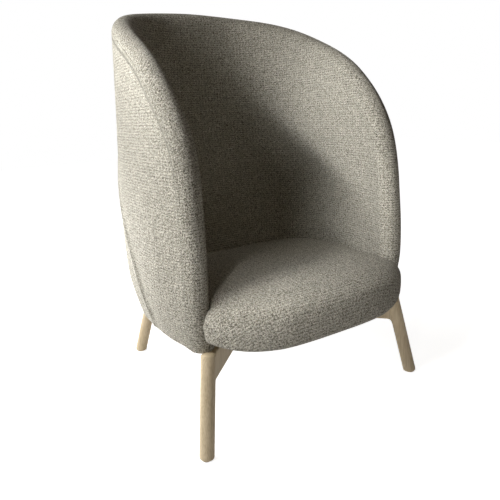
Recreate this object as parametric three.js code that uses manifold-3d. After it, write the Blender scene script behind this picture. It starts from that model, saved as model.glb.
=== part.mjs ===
// High-backed lounge chair: a padded wrap-round shell and a deep seat cushion on a wooden cross base.
// Millimetres, +Z up, the sitter faces -Y, X = 0 is the plane of symmetry, origin at the footprint's centre.
import * as THREE from 'three';
import { mergeVertices } from 'three/addons/utils/BufferGeometryUtils.js';
import Module from 'manifold-3d';

// Overall sizes, and the gap left between pieces that touch
const OVERALL_WIDTH = 820;
const OVERALL_DEPTH = 855;
const OVERALL_HEIGHT = 1197;
const GAP = 0.3;

// Cross base: round splayed legs and two lapped rails, flush with the tops of the legs
const LEG_DIAMETER = 39.5;
const LEG_HEIGHT = 257;
const FRONT_LEG_RISE = 13;
const LEG_DOME = 8;
const LEG_DOME_FULLNESS = 0.8;
const LEG_DOME_END = 75;
const FOOT_ROUNDING = 7;
const FRONT_FOOT_X = 377.5;
const FRONT_FOOT_Y = -345;
const REAR_FOOT_X = 322;
const REAR_FOOT_Y = 339.5;
const FRONT_SPLAY_DEGREES = 14;
const REAR_SPLAY_DEGREES = 17.7;
const RAIL_HEIGHT = 68.5;
const RAIL_THICKNESS = 24;
const RAIL_FILLET = 14;
const RAIL_SHOULDER_DROP = 13;
const RAIL_SHOULDER_RUN = 26;
const TENON_THICKNESS = 10;
const TENON_HEIGHT = 36;
const TENON_DEPTH = 15;
const GLIDE_DIAMETER = 26;
const GLIDE_HEIGHT = 4;
const GLIDE_STEM_DIAMETER = 6;
const GLIDE_STEM_HEIGHT = 12;
const RAIL_TOP = LEG_HEIGHT;
const RAIL_UNDERSIDE = RAIL_TOP - RAIL_HEIGHT;

// Padded shell: total wall, its layers and the roll round its edge
const WALL = 70;
const OUTER_PANEL = 8;
const CORE_THICKNESS = 12;
const CORE_EDGE = 2;
const SEAM_SOFTENING = 3;
const SEAM_ROUNDING_RUN = 7;
const SHELL_BOTTOM = RAIL_TOP + 2 * GAP;
const SHELL_FOOT_RISE = 11;
const SHELL_FOOT_RISE_RUN = 60;

// Seat platform, webbing, dust cover
const DUST_COVER = 0.8;
const DUST_COVER_INSET = 9;
const PLATFORM_THICKNESS = 18;
const PLATFORM_FRONT_Y = -300;
const PLATFORM_FRONT_HALF_WIDTH = 262;
const PLATFORM_CORNER = 60;
const PLATFORM_OPENING_WIDTH = 250;
const PLATFORM_OPENING_CORNER = 40;
const PLATFORM_OPENING_TO_BOLT = 34;
const WEBBING_WIDTH = 60;
const WEBBING_THICKNESS = 1.5;
const WEBBING_LAP = 35;
const WEBBING_SIDE_GAP = 6;

// Fixings
const BOLT_DIAMETER = 8;
const BOLT_HEAD_DIAMETER = 13;
const BOLT_HEAD_HEIGHT = 8;
const BOLT_SOCKET = 6;
const BOLT_SOCKET_DEPTH = 4;
const BOLT_RECESS = 24;
const BOLT_TO_PADDING = 30;
const BOLT_TO_FRONT_LEG = 276;
const WASHER_DIAMETER = 20;
const WASHER_THICKNESS = 1.6;
const NUT_FLANGE_DIAMETER = 22;
const NUT_FLANGE = 1.6;
const NUT_BARREL_DIAMETER = 11;
const NUT_BARREL = 12;
const BRACKET_WIDTH = 34;
const BRACKET_LEG = 32;
const BRACKET_THICKNESS = 3;
const BRACKET_TURNS = [18, 60, 100];
const SCREW_DIAMETER = 4;
const SCREW_LENGTH = 12;
const SCREW_HEAD_DIAMETER = 8;
const SCREW_HEAD = 2.4;
const screw_on_leg_share = 0.64;

// Seat cushion: its front ears stand out past the wings
const CUSHION_EAR_HALF_WIDTH = 388;
const CUSHION_FRONT_THICKNESS = 167;
const CUSHION_BACK_SLOPE = 58;
const CUSHION_CLEARANCE = 2.6;
const CUSHION_WING_CLEARANCE = 1.8;
const CUSHION_FRONT_POWER = 3.2;
const CUSHION_UPPER_EDGE_POWER = 3.4;
const CUSHION_LOWER_EDGE_POWER = 7.5;
const CUSHION_EAR_TURNS = [112, 125];
const CUSHION_FRONT_Y = -OVERALL_DEPTH / 2;
const CUSHION_UNDERSIDE = SHELL_BOTTOM + GAP;
const cushion_widest_share = 0.47;
const cushion_ring_shares = [0, 0.6, 0.8, 0.9, 0.955, 0.985, 1, 0.985, 0.95, 0.88, 0.76, 0.55, 0.28];

// Shape of the shell: mid surface by height, in shares of the overall sizes
const shell_centre_share = -0.038;
const front_reach_share = 0.482;
const SHELL_CENTRE_Y = shell_centre_share * OVERALL_DEPTH;
const MID_HALF_WIDTH = (OVERALL_WIDTH - WALL) / 2;
const MID_BACK_REACH = OVERALL_DEPTH / 2 - WALL / 2 - SHELL_CENTRE_Y;
const MID_FRONT_REACH = front_reach_share * OVERALL_DEPTH;
const RIM_TOP = OVERALL_HEIGHT - WALL / 2;
const PLAN_POWER = 2.7;
const level_shares = [0.2046, 0.3467, 0.5138, 0.706, 0.982];
const half_width_shares = [0.9237, 1, 0.971, 0.913, 0.857];
const back_reach_shares = [0.554, 0.738, 0.912, 1, 0.971];

// Rim of the shell, from the top centre down the wing: turn from the back in degrees, height share of RIM_TOP
const RIM_TURNS = [0, 34.3, 68.3, 100.4, 120, 124.5, 124, 123.6];
const rim_height_shares = [1, 0.9777, 0.9071, 0.8154, 0.6819, 0.4826, 0.2583, 0.1969];

// Seam between side and back panels outside, from the bottom up: turns, height shares of RIM_TOP
const SEAM_TURNS = [95, 96.5, 86.5, 67, 47, 30];
const seam_height_shares = [0.1969, 0.2874, 0.3961, 0.5209, 0.6698, 0.8307];
const SEAM_TOP_TURN = 18;
const WING_FOOT_TURN = 108;
const SEAM_ON_ROLL = 14;
const SEAM_ON_ROLL_GAP = 0.6;
const PLATFORM_WING_TURN = 111;

const ROLL = WALL / 2;
const CORE_OUT = ROLL - OUTER_PANEL - GAP;
const CORE_IN = CORE_OUT - CORE_THICKNESS;
const PLATFORM_BOTTOM = RAIL_TOP + 2 * GAP + DUST_COVER;
const PLATFORM_TOP = PLATFORM_BOTTOM + PLATFORM_THICKNESS;
const WEBBING_TOP = PLATFORM_TOP + GAP + WEBBING_THICKNESS;
const NUDGE = WALL / 100;
const degrees = Math.PI / 180;

const wasm = await Module();
wasm.setup();
const { Manifold } = wasm;

// Solids and meshes
function toSolid(geometry) {
  const bare = geometry.clone();
  bare.deleteAttribute('normal');
  bare.deleteAttribute('uv');
  const merged = mergeVertices(bare, NUDGE / 1000);
  const positions = merged.attributes.position.array;
  const index = Uint32Array.from(merged.index.array);
  const vertProperties = Float32Array.from(positions);
  return new Manifold(new wasm.Mesh({ numProp: 3, vertProperties, triVerts: index }));
}

function toGeometry(solid) {
  const mesh = solid.getMesh();
  const geometry = new THREE.BufferGeometry();
  geometry.setAttribute('position', new THREE.BufferAttribute(Float32Array.from(mesh.vertProperties), 3));
  geometry.setIndex([...mesh.triVerts]);
  geometry.computeVertexNormals();
  return geometry;
}

function placed(solid, matrix) {
  return solid.transform([...matrix.elements]);
}

function cylinder(radius, bottom, top, sides = 24) {
  const geometry = new THREE.CylinderGeometry(radius, radius, top - bottom, sides);
  geometry.rotateX(Math.PI / 2);
  geometry.translate(0, 0, (top + bottom) / 2);
  return toSolid(geometry);
}

function lathe(profile, sides = 24) {
  const geometry = new THREE.LatheGeometry(profile.map(([r, z]) => new THREE.Vector2(r, z)), sides);
  geometry.rotateX(Math.PI / 2);
  return toSolid(geometry);
}

function slab(shape, bottom, top) {
  const options = { depth: top - bottom, bevelEnabled: false, curveSegments: 6 };
  const geometry = new THREE.ExtrudeGeometry(shape, options);
  geometry.translate(0, 0, bottom);
  return toSolid(geometry);
}

// Triangles of a ribbon-like outline, laced from its two free ends towards the turn between them
function lacedTriangles(outline) {
  const span = (i, j) => Math.hypot(outline[i][0] - outline[j][0], outline[i][1] - outline[j][1]);
  const triangles = [];
  let [i, j] = [0, outline.length - 1];
  while (j - i > 1) {
    if (span(i + 1, j) <= span(i, j - 1)) {
      triangles.push([i, i + 1, j]);
      i += 1;
    } else {
      triangles.push([i, j - 1, j]);
      j -= 1;
    }
  }
  return triangles;
}

// Triangles of a flat outline of any shape, all turning the same way as the outline
function flatTriangles(outline) {
  const contour = outline.map(([x, y]) => new THREE.Vector2(x, y));
  const turned = THREE.ShapeUtils.isClockWise(contour);
  return THREE.ShapeUtils.triangulateShape(contour, []).map(([a, b, c]) => {
    const clockwise = THREE.ShapeUtils.isClockWise([contour[a], contour[b], contour[c]]);
    return clockwise === turned ? [a, b, c] : [a, c, b];
  });
}

// Closed body swept through equal loops of points, its two ends filled with the given triangles. Each patch
// is split along its shorter diagonal, so that layers lying on each other are split alike.
function sweep(loops, endTriangles) {
  const count = loops[0].length;
  const corners = loops.flat();
  const positions = corners.flatMap((point) => [point.x, point.y, point.z]);
  const index = [];
  for (let i = 0; i + 1 < loops.length; i += 1) {
    for (let j = 0; j < count; j += 1) {
      const [a, b] = [i * count + j, i * count + ((j + 1) % count)];
      const [c, d] = [a + count, b + count];
      const rising = corners[a].distanceTo(corners[d]) <= corners[b].distanceTo(corners[c]);
      index.push(...(rising ? [a, b, d, a, d, c] : [a, b, c, b, d, c]));
    }
  }
  const last = (loops.length - 1) * count;
  for (const [a, b, c] of endTriangles) {
    index.push(a, c, b, last + a, last + b, last + c);
  }
  return closedBody(positions, index);
}

function closedBody(positions, index) {
  const geometry = new THREE.BufferGeometry();
  geometry.setAttribute('position', new THREE.Float32BufferAttribute(positions, 3));
  geometry.setIndex(signedVolume(positions, index) < 0 ? index.slice().reverse() : index);
  return toSolid(geometry);
}

function signedVolume(positions, index) {
  const corner = (i) => new THREE.Vector3(...positions.slice(3 * i, 3 * i + 3));
  let volume = 0;
  for (let i = 0; i < index.length; i += 3) {
    volume += corner(index[i]).dot(corner(index[i + 1]).cross(corner(index[i + 2])));
  }
  return volume;
}

// Smooth curve through a table of values, level at each high or low point
function smoothTable(xs, ys) {
  const steps = xs.slice(1).map((x, i) => (ys[i + 1] - ys[i]) / (x - xs[i]));
  const slopes = xs.map((_, i) => {
    if (i === 0) return steps[0];
    if (i === xs.length - 1) return steps[i - 1];
    const [before, after] = [steps[i - 1], steps[i]];
    return before * after <= 0 ? 0 : (2 * before * after) / (before + after);
  });
  return (x) => {
    if (x <= xs[0]) return ys[0] + slopes[0] * (x - xs[0]);
    let i = 0;
    while (i < xs.length - 2 && x > xs[i + 1]) i += 1;
    const run = xs[i + 1] - xs[i];
    const t = (x - xs[i]) / run;
    const [t2, t3] = [t * t, t * t * t];
    return (2 * t3 - 3 * t2 + 1) * ys[i] + (t3 - 2 * t2 + t) * run * slopes[i]
      + (3 * t2 - 2 * t3) * ys[i + 1] + (t3 - t2) * run * slopes[i + 1];
  };
}

const levels = level_shares.map((share) => share * OVERALL_HEIGHT);
const halfWidthAt = smoothTable(levels, half_width_shares.map((share) => share * MID_HALF_WIDTH));
const backReachAt = smoothTable(levels, back_reach_shares.map((share) => share * MID_BACK_REACH));

// Radius of a squared-off ellipse at a turn from its Y axis
function superellipse(turn, halfWidth, reach, power) {
  const [x, y] = [Math.abs(Math.sin(turn) / halfWidth), Math.abs(Math.cos(turn) / reach)];
  return (x ** power + y ** power) ** (-1 / power);
}

// Point of the shell's mid surface: turn from the back centre, height
function midPoint(turn, height) {
  const reach = Math.cos(turn) > 0 ? backReachAt(height) : MID_FRONT_REACH;
  const radius = superellipse(turn, halfWidthAt(height), reach, PLAN_POWER);
  return new THREE.Vector3(radius * Math.sin(turn), SHELL_CENTRE_Y + radius * Math.cos(turn), height);
}

function outwardNormal(turn, height) {
  const turnStep = NUDGE / MID_HALF_WIDTH;
  const around = midPoint(turn + turnStep, height).sub(midPoint(turn - turnStep, height));
  const upward = midPoint(turn, height + NUDGE).sub(midPoint(turn, height - NUDGE));
  return upward.cross(around).normalize();
}

function wallPoint(turn, height, out) {
  return midPoint(turn, height).addScaledVector(outwardNormal(turn, height), out);
}

// Same distance out from the mid surface, but met at an exact height
function wallAtHeight(turn, height, out) {
  let start = height;
  for (let i = 0; i < 4; i += 1) start = height - out * outwardNormal(turn, start).z;
  return wallPoint(turn, start, out);
}

// Rim line and seam line as curves over the unrolled wall
const unroll = (turn, height) => new THREE.Vector3(turn * MID_HALF_WIDTH, height, 0);
const rimKnots = RIM_TURNS.map((turn, i) => unroll(turn * degrees, rim_height_shares[i] * RIM_TOP));
const mirroredKnots = rimKnots.slice(1).reverse().map((knot) => new THREE.Vector3(-knot.x, knot.y, 0));
const rimCurve = new THREE.CatmullRomCurve3([...mirroredKnots, ...rimKnots], false, 'centripetal');
rimCurve.arcLengthDivisions = 800;

function rimSpot(place) {
  const spot = rimCurve.getPointAt(Math.min(1, Math.max(0, (1 + place) / 2)));
  return { turn: spot.x / MID_HALF_WIDTH, height: spot.y };
}

function rimPlaceOfTurn(turn) {
  let [low, high] = [0, 0.5];
  for (let i = 0; i < 40; i += 1) {
    const middle = (low + high) / 2;
    if (rimSpot(middle).turn < turn) low = middle; else high = middle;
  }
  return (low + high) / 2;
}

const SEAM_PLACE = rimPlaceOfTurn(SEAM_TOP_TURN * degrees);
const seamTop = rimSpot(SEAM_PLACE);
const seamCurve = new THREE.CatmullRomCurve3([
  ...SEAM_TURNS.map((turn, i) => unroll(turn * degrees, seam_height_shares[i] * RIM_TOP)),
  unroll(seamTop.turn, seamTop.height),
], false, 'centripetal');

function seamSpot(rise) {
  const spot = seamCurve.getPoint(Math.min(1, Math.max(0, rise)));
  return { turn: spot.x / MID_HALF_WIDTH, height: spot.y };
}

// Spot on the wall for a place along the rim (-1 left foot, 0 top centre, 1 right foot) and a rise from the
// bottom (0) to the rim (1). Lines of equal place lie along the seams at plus and minus SEAM_PLACE.
function wallSpot(place, rise, shift = 0) {
  const side = place < 0 ? -1 : 1;
  const reach = Math.abs(place);
  const seam = seamSpot(rise);
  const rim = rimSpot(reach);
  if (reach <= SEAM_PLACE) {
    const height = seam.height + rise * (rim.height - seamTop.height);
    return { turn: side * (reach / SEAM_PLACE) * (seam.turn + shift), height };
  }
  const fan = (reach - SEAM_PLACE) / (1 - SEAM_PLACE);
  const foot = seamSpot(0);
  const footTurn = foot.turn + (WING_FOOT_TURN * degrees - foot.turn) * fan;
  const easing = (1 - fan) ** 2;
  const bowTurn = seam.turn - (foot.turn + (seamTop.turn - foot.turn) * rise);
  const bowHeight = seam.height - (foot.height + (seamTop.height - foot.height) * rise);
  return {
    turn: side * (footTurn + (rim.turn - footTurn) * rise + bowTurn * easing + shift * easing),
    height: foot.height + (rim.height - foot.height) * rise + bowHeight * easing,
  };
}

// One cut through the shell: gives points by distance in from the rim and distance out from the mid surface
function shellCut(place, shift = 0) {
  const STEPS = 24;
  const rises = Array.from({ length: STEPS + 1 }, (_, i) => 1 - i / STEPS);
  const spots = rises.map((rise) => wallSpot(place, rise, shift));
  const points = spots.map(({ turn, height }) => midPoint(turn, height));
  const lengths = [0];
  points.slice(1).forEach((point, i) => lengths.push(lengths[i] + point.distanceTo(points[i])));
  const rim = wallSpot(place, 1, shift);
  const normal = outwardNormal(rim.turn, rim.height);
  const [before, after] = [rimSpot(Math.max(place - 0.002, -1)), rimSpot(Math.min(place + 0.002, 1))];
  const tangent = midPoint(after.turn, after.height).sub(midPoint(before.turn, before.height)).normalize();
  const edgeward = tangent.clone().cross(normal).normalize();
  if (edgeward.dot(points[0].clone().sub(points[1])) < 0) edgeward.negate();
  return {
    length: lengths[STEPS],
    at(inward, out) {
      if (inward <= 0) {
        return points[0].clone().addScaledVector(edgeward, -inward).addScaledVector(normal, out);
      }
      let i = 0;
      while (i < STEPS - 1 && inward > lengths[i + 1]) i += 1;
      const share = (inward - lengths[i]) / (lengths[i + 1] - lengths[i]);
      const spot = wallSpot(place, rises[i] + (rises[i + 1] - rises[i]) * share, shift);
      return wallPoint(spot.turn, spot.height, out);
    },
  };
}

// Evenly spaced values from one end to the other
function placesBetween(from, to, count) {
  return Array.from({ length: count + 1 }, (_, i) => from + ((to - from) * i) / count);
}

function sweepShell(places, outlineAt, shiftAt = () => 0) {
  const outlines = places.map((place, i) => {
    const cut = shellCut(place, shiftAt(i));
    return { cut, outline: outlineAt(cut.length, i) };
  });
  const loops = outlines.map(({ cut, outline }) => outline.map(([inward, out]) => cut.at(inward, out)));
  return sweep(loops, lacedTriangles(outlines[0].outline));
}

// Arc of the rim roll, from one angle to another measured from straight out
function rollPoint(radius, angle) {
  return [-radius * Math.sin(angle * degrees), radius * Math.cos(angle * degrees)];
}

function rollArc(radius, from, to, count) {
  return placesBetween(from, to, count).map((angle) => rollPoint(radius, angle));
}

// Rows down one face of a layer, from its edge at the rim to its foot
function faceRows(edge, length, out, shares) {
  return shares.map((share) => [edge + (length - edge) * share, out]);
}

// Layers that lie on each other share their cuts and rows, so that their faces stay parallel. A cut stands
// close to each side of the seam, where the panels' edges round over.
const SIDE_CUTS = 16;
const BACK_CUTS = 7;
const ROLL_STEPS = 6;
const roundingPlace = (2 * SEAM_ROUNDING_RUN) / rimCurve.getLength();
const sidePlaces = [SEAM_PLACE, SEAM_PLACE + roundingPlace,
  ...placesBetween(SEAM_PLACE, 1, SIDE_CUTS).slice(1)];
const backPlaces = [...placesBetween(0, SEAM_PLACE, BACK_CUTS).slice(0, -1), SEAM_PLACE - roundingPlace,
  SEAM_PLACE];
const mirrored = (places) => [...places.slice(1).reverse().map((place) => -place), ...places];
const wholePlaces = mirrored([...backPlaces, ...sidePlaces.slice(1)]);
const hidden_row_shares = [0, 0.35, 0.68, 0.91, 1];
const face_row_shares = [0, 0.16, 0.32, 0.48, 0.64, 0.8, 0.91, 1];
const outer_row_shares = [0, 0.1, 0.23, 0.37, 0.52, 0.68, 0.81, 0.91, 1];

function insideOutline(length) {
  const hookAngle = SEAM_ON_ROLL + SEAM_ON_ROLL_GAP;
  return [
    ...faceRows(0, length, -ROLL, face_row_shares).reverse().slice(0, -1),
    ...rollArc(ROLL, 180, hookAngle, ROLL_STEPS),
    rollPoint(CORE_OUT, hookAngle),
    [CORE_EDGE - GAP, CORE_OUT],
    [CORE_EDGE - GAP, CORE_IN - GAP],
    ...faceRows(CORE_EDGE - GAP, length, CORE_IN - GAP, hidden_row_shares).slice(1),
  ];
}

function coreOutline(length) {
  return [...faceRows(CORE_EDGE, length, CORE_IN, hidden_row_shares).reverse(),
    ...faceRows(CORE_EDGE, length, CORE_OUT, outer_row_shares)];
}

function panelOutline(length, drop) {
  const innerFace = ROLL - OUTER_PANEL;
  return [
    ...faceRows(0, length, ROLL - drop, outer_row_shares).reverse().slice(0, -1),
    ...rollArc(ROLL - drop, 0, SEAM_ON_ROLL * 0.7, 1),
    rollPoint(ROLL - SEAM_SOFTENING - drop, SEAM_ON_ROLL),
    ...rollArc(innerFace, SEAM_ON_ROLL, 0, 1),
    ...faceRows(0, length, innerFace, outer_row_shares).slice(1),
  ];
}

// Platform outline: follows the wall, narrower in front of the wings
function platformShape(growth, frontGrowth = growth) {
  const points = [];
  for (const turn of placesBetween(-PLATFORM_WING_TURN, PLATFORM_WING_TURN, 30)) {
    const point = wallAtHeight(turn * degrees, PLATFORM_BOTTOM, CORE_IN + growth);
    points.push(new THREE.Vector2(point.x, point.y));
  }
  const corner = PLATFORM_CORNER;
  const halfWidth = PLATFORM_FRONT_HALF_WIDTH + frontGrowth;
  const front = PLATFORM_FRONT_Y - frontGrowth;
  const wingSide = points[points.length - 1].y;
  points.push(new THREE.Vector2(halfWidth, wingSide));
  for (const side of [1, -1]) {
    const arc = [];
    for (let i = 0; i <= 5; i += 1) {
      const angle = (i / 5) * 90 * degrees;
      arc.push(new THREE.Vector2(side * (halfWidth - corner + corner * Math.cos(angle)),
        front + corner - corner * Math.sin(angle)));
    }
    points.push(...(side > 0 ? arc : arc.reverse()));
  }
  points.push(new THREE.Vector2(-halfWidth, wingSide));
  return new THREE.Shape(points);
}

function roundedRectangle(width, depth, corner, centreY) {
  const shape = new THREE.Shape();
  const [x, y] = [width / 2, depth / 2];
  shape.moveTo(-x + corner, centreY - y);
  shape.lineTo(x - corner, centreY - y);
  shape.absarc(x - corner, centreY - y + corner, corner, -Math.PI / 2, 0);
  shape.absarc(x - corner, centreY + y - corner, corner, 0, Math.PI / 2);
  shape.absarc(-x + corner, centreY + y - corner, corner, Math.PI / 2, Math.PI);
  shape.absarc(-x + corner, centreY - y + corner, corner, Math.PI, 1.5 * Math.PI);
  return shape;
}

// Base geometry: the legs lean inwards in the upright planes of the two rails
const railStart = new THREE.Vector2(-FRONT_FOOT_X, FRONT_FOOT_Y);
const railEnd = new THREE.Vector2(REAR_FOOT_X, REAR_FOOT_Y);
const railRun = railEnd.clone().sub(railStart);
const crossShare = FRONT_FOOT_X / (FRONT_FOOT_X + REAR_FOOT_X);
const crossing = railStart.clone().addScaledVector(railRun, crossShare);
const railDirection = railRun.clone().normalize();
const frontReach = -railRun.length() * crossShare;
const rearReach = railRun.length() * (1 - crossShare);
const FRONT_SPLAY = FRONT_SPLAY_DEGREES * degrees;
const REAR_SPLAY = REAR_SPLAY_DEGREES * degrees;
const legRadius = LEG_DIAMETER / 2;

const frontAxis = (height) => frontReach + height * Math.tan(FRONT_SPLAY);
const rearAxis = (height) => rearReach - height * Math.tan(REAR_SPLAY);

// Frame with X along a rail, Z up, origin at the crossing on the floor; side 1 or -1 picks the rail
function railFrame(side) {
  const along = new THREE.Vector3(side * railDirection.x, railDirection.y, 0);
  const up = new THREE.Vector3(0, 0, 1);
  const across = up.clone().cross(along);
  return new THREE.Matrix4().makeBasis(along, across, up).setPosition(0, crossing.y, 0);
}

function legMatrix(end) {
  const reach = end === 'front' ? frontReach : rearReach;
  const lean = end === 'front' ? FRONT_SPLAY : -REAR_SPLAY;
  return new THREE.Matrix4().makeTranslation(reach, 0, 0)
    .multiply(new THREE.Matrix4().makeRotationY(lean));
}

// The front legs stand up past the rails, into the hollow between wing and cushion
function legBody(end) {
  const splay = end === 'front' ? FRONT_SPLAY : REAR_SPLAY;
  const top = LEG_HEIGHT + (end === 'front' ? FRONT_LEG_RISE : 0);
  const dome = placesBetween(0, LEG_DOME_END, 5).map((angle) => [
    legRadius * Math.cos(angle * degrees) ** LEG_DOME_FULLNESS, LEG_DOME * (Math.sin(angle * degrees) - 1),
  ]);
  const crest = Math.max(...dome.map(([r, z]) => r * Math.sin(splay) + z * Math.cos(splay)), 0);
  const length = (top - crest) / Math.cos(splay);
  const profile = [[0, 0]];
  for (let i = 0; i <= 3; i += 1) {
    const angle = (i / 3) * 90 * degrees;
    profile.push([legRadius - FOOT_ROUNDING * (1 - Math.sin(angle)), FOOT_ROUNDING * (1 - Math.cos(angle))]);
  }
  profile.push(...dome.map(([r, z]) => [r, length + z]), [0, length]);
  return lathe(profile, 24);
}

function blockBetween(fromX, toX, thickness, bottom, top) {
  const geometry = new THREE.BoxGeometry(toX - fromX, thickness, top - bottom);
  geometry.translate((fromX + toX) / 2, 0, (bottom + top) / 2);
  return toSolid(geometry);
}

// Board outline in the rail's own upright plane, with a fillet down each leg and lowered shoulders
function railShape(widen) {
  const shape = new THREE.Shape();
  const low = RAIL_UNDERSIDE;
  const frontFace = (height) => frontAxis(height) + legRadius / Math.cos(FRONT_SPLAY);
  const rearFace = (height) => rearAxis(height) - legRadius / Math.cos(REAR_SPLAY);
  shape.moveTo(frontAxis(low - RAIL_FILLET), low - RAIL_FILLET);
  shape.lineTo(frontFace(low - RAIL_FILLET), low - RAIL_FILLET);
  shape.quadraticCurveTo(frontFace(low), low, frontFace(low) + RAIL_FILLET, low);
  shape.lineTo(rearFace(low) - RAIL_FILLET, low);
  shape.quadraticCurveTo(rearFace(low), low, rearFace(low - RAIL_FILLET), low - RAIL_FILLET);
  shape.lineTo(rearAxis(low - RAIL_FILLET), low - RAIL_FILLET);
  const shoulder = RAIL_TOP - RAIL_SHOULDER_DROP;
  shape.lineTo(rearAxis(shoulder), shoulder);
  shape.lineTo(rearFace(shoulder), shoulder);
  const [rearEdge, frontEdge] = [rearFace(RAIL_TOP), frontFace(RAIL_TOP)];
  shape.quadraticCurveTo(rearEdge - RAIL_SHOULDER_RUN / 2, RAIL_TOP, rearEdge - RAIL_SHOULDER_RUN, RAIL_TOP);
  shape.lineTo(frontEdge + RAIL_SHOULDER_RUN, RAIL_TOP);
  shape.quadraticCurveTo(frontEdge + RAIL_SHOULDER_RUN / 2, RAIL_TOP, frontFace(shoulder), shoulder);
  shape.lineTo(frontAxis(shoulder), shoulder);
  const options = { depth: RAIL_THICKNESS, bevelEnabled: false, curveSegments: 5 };
  const geometry = new THREE.ExtrudeGeometry(shape, options);
  geometry.translate(0, 0, -RAIL_THICKNESS / 2);
  geometry.rotateX(Math.PI / 2);
  if (widen) geometry.scale(1, 1 + (2 * widen) / RAIL_THICKNESS, 1);
  return toSolid(geometry);
}

function tenon(end, clearance) {
  const middle = (RAIL_UNDERSIDE + RAIL_TOP) / 2 - RAIL_SHOULDER_DROP / 2;
  const [bottom, top] = [middle - TENON_HEIGHT / 2 - clearance, middle + TENON_HEIGHT / 2 + clearance];
  const axis = end === 'front' ? frontAxis(middle) : rearAxis(middle);
  const inward = end === 'front' ? 1 : -1;
  const tip = axis + inward * (legRadius - TENON_DEPTH - clearance);
  const root = axis + inward * (legRadius + RAIL_FILLET);
  return blockBetween(Math.min(tip, root), Math.max(tip, root), TENON_THICKNESS + 2 * clearance, bottom, top);
}

// How far a rear arm runs from the crossing to where it passes under the inside of the padding
function paddingReach() {
  let [low, high] = [0, Math.PI / 2];
  let spot = crossing;
  for (let i = 0; i < 30; i += 1) {
    const middle = (low + high) / 2;
    const { x, y } = wallAtHeight(middle, PLATFORM_TOP, -ROLL);
    spot = new THREE.Vector2(x, y).sub(crossing);
    if (spot.cross(railDirection) < 0) low = middle; else high = middle;
  }
  return spot.length();
}

const boltSpots = [
  { name: 'front', reach: frontReach + BOLT_TO_FRONT_LEG },
  { name: 'rear', reach: paddingReach() - BOLT_TO_PADDING },
];
const recessTop = RAIL_UNDERSIDE + BOLT_RECESS;

function railBody(side) {
  let body = railShape(0);
  for (const end of ['front', 'rear']) {
    const leg = placed(cylinder(legRadius + GAP, -LEG_HEIGHT, 2 * LEG_HEIGHT, 28), legMatrix(end));
    body = body.subtract(leg).add(tenon(end, 0));
  }
  for (const { reach } of boltSpots) {
    const shank = cylinder(BOLT_DIAMETER / 2 + GAP, 0, LEG_HEIGHT * 2, 12).translate([reach, 0, 0]);
    const recess = cylinder(WASHER_DIAMETER / 2 + 2 * GAP, 0, recessTop, 16).translate([reach, 0, 0]);
    body = body.subtract(shank).subtract(recess);
  }
  const other = placed(railShape(GAP), railFrame(side).invert().multiply(railFrame(-side)));
  const middle = (RAIL_UNDERSIDE + RAIL_TOP) / 2;
  const upper = other.trimByPlane([0, 0, 1], middle - GAP / 2);
  const lower = other.trimByPlane([0, 0, -1], -middle - GAP / 2);
  return placed(body.subtract(side > 0 ? upper : lower), railFrame(side));
}

// Fixings
function socketBolt(length) {
  const hexagon = cylinder(BOLT_SOCKET / 2, -NUDGE, BOLT_SOCKET_DEPTH, 6);
  const radius = BOLT_DIAMETER / 2;
  const headRadius = BOLT_HEAD_DIAMETER / 2;
  const edge = BOLT_HEAD_HEIGHT / 8;
  return lathe([[0, 0], [headRadius - edge, 0], [headRadius, edge], [headRadius, BOLT_HEAD_HEIGHT],
    [radius, BOLT_HEAD_HEIGHT], [radius, length], [0, length]], 12).subtract(hexagon);
}

function flangedNut() {
  const barrel = NUT_BARREL_DIAMETER / 2;
  const bore = BOLT_DIAMETER / 2 + GAP;
  return lathe([[bore, -NUT_BARREL], [barrel, -NUT_BARREL], [barrel, 0], [NUT_FLANGE_DIAMETER / 2, 0],
    [NUT_FLANGE_DIAMETER / 2, NUT_FLANGE], [bore, NUT_FLANGE], [bore, -NUT_BARREL]], 12);
}

function screwBody() {
  const radius = SCREW_DIAMETER / 2;
  const head = SCREW_HEAD_DIAMETER / 2;
  return lathe([[0, -SCREW_LENGTH], [radius, 0], [head, 0], [head, SCREW_HEAD / 2], [0, SCREW_HEAD]], 8);
}

// Steel angles: one leg on the platform, one up the core and bent to its lean
const bracketFloor = PLATFORM_TOP + GAP;

function pointingAlong(direction, position) {
  const turn = new THREE.Quaternion().setFromUnitVectors(new THREE.Vector3(0, 0, 1), direction);
  return new THREE.Matrix4().compose(position, turn, new THREE.Vector3(1, 1, 1));
}

function widthways(outline, width) {
  const shape = new THREE.Shape(outline.map(([out, rise]) => new THREE.Vector2(out, rise)));
  const geometry = new THREE.ExtrudeGeometry(shape, { depth: width, bevelEnabled: false });
  geometry.translate(0, 0, -width / 2);
  geometry.rotateX(Math.PI / 2);
  return toSolid(geometry);
}

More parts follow.
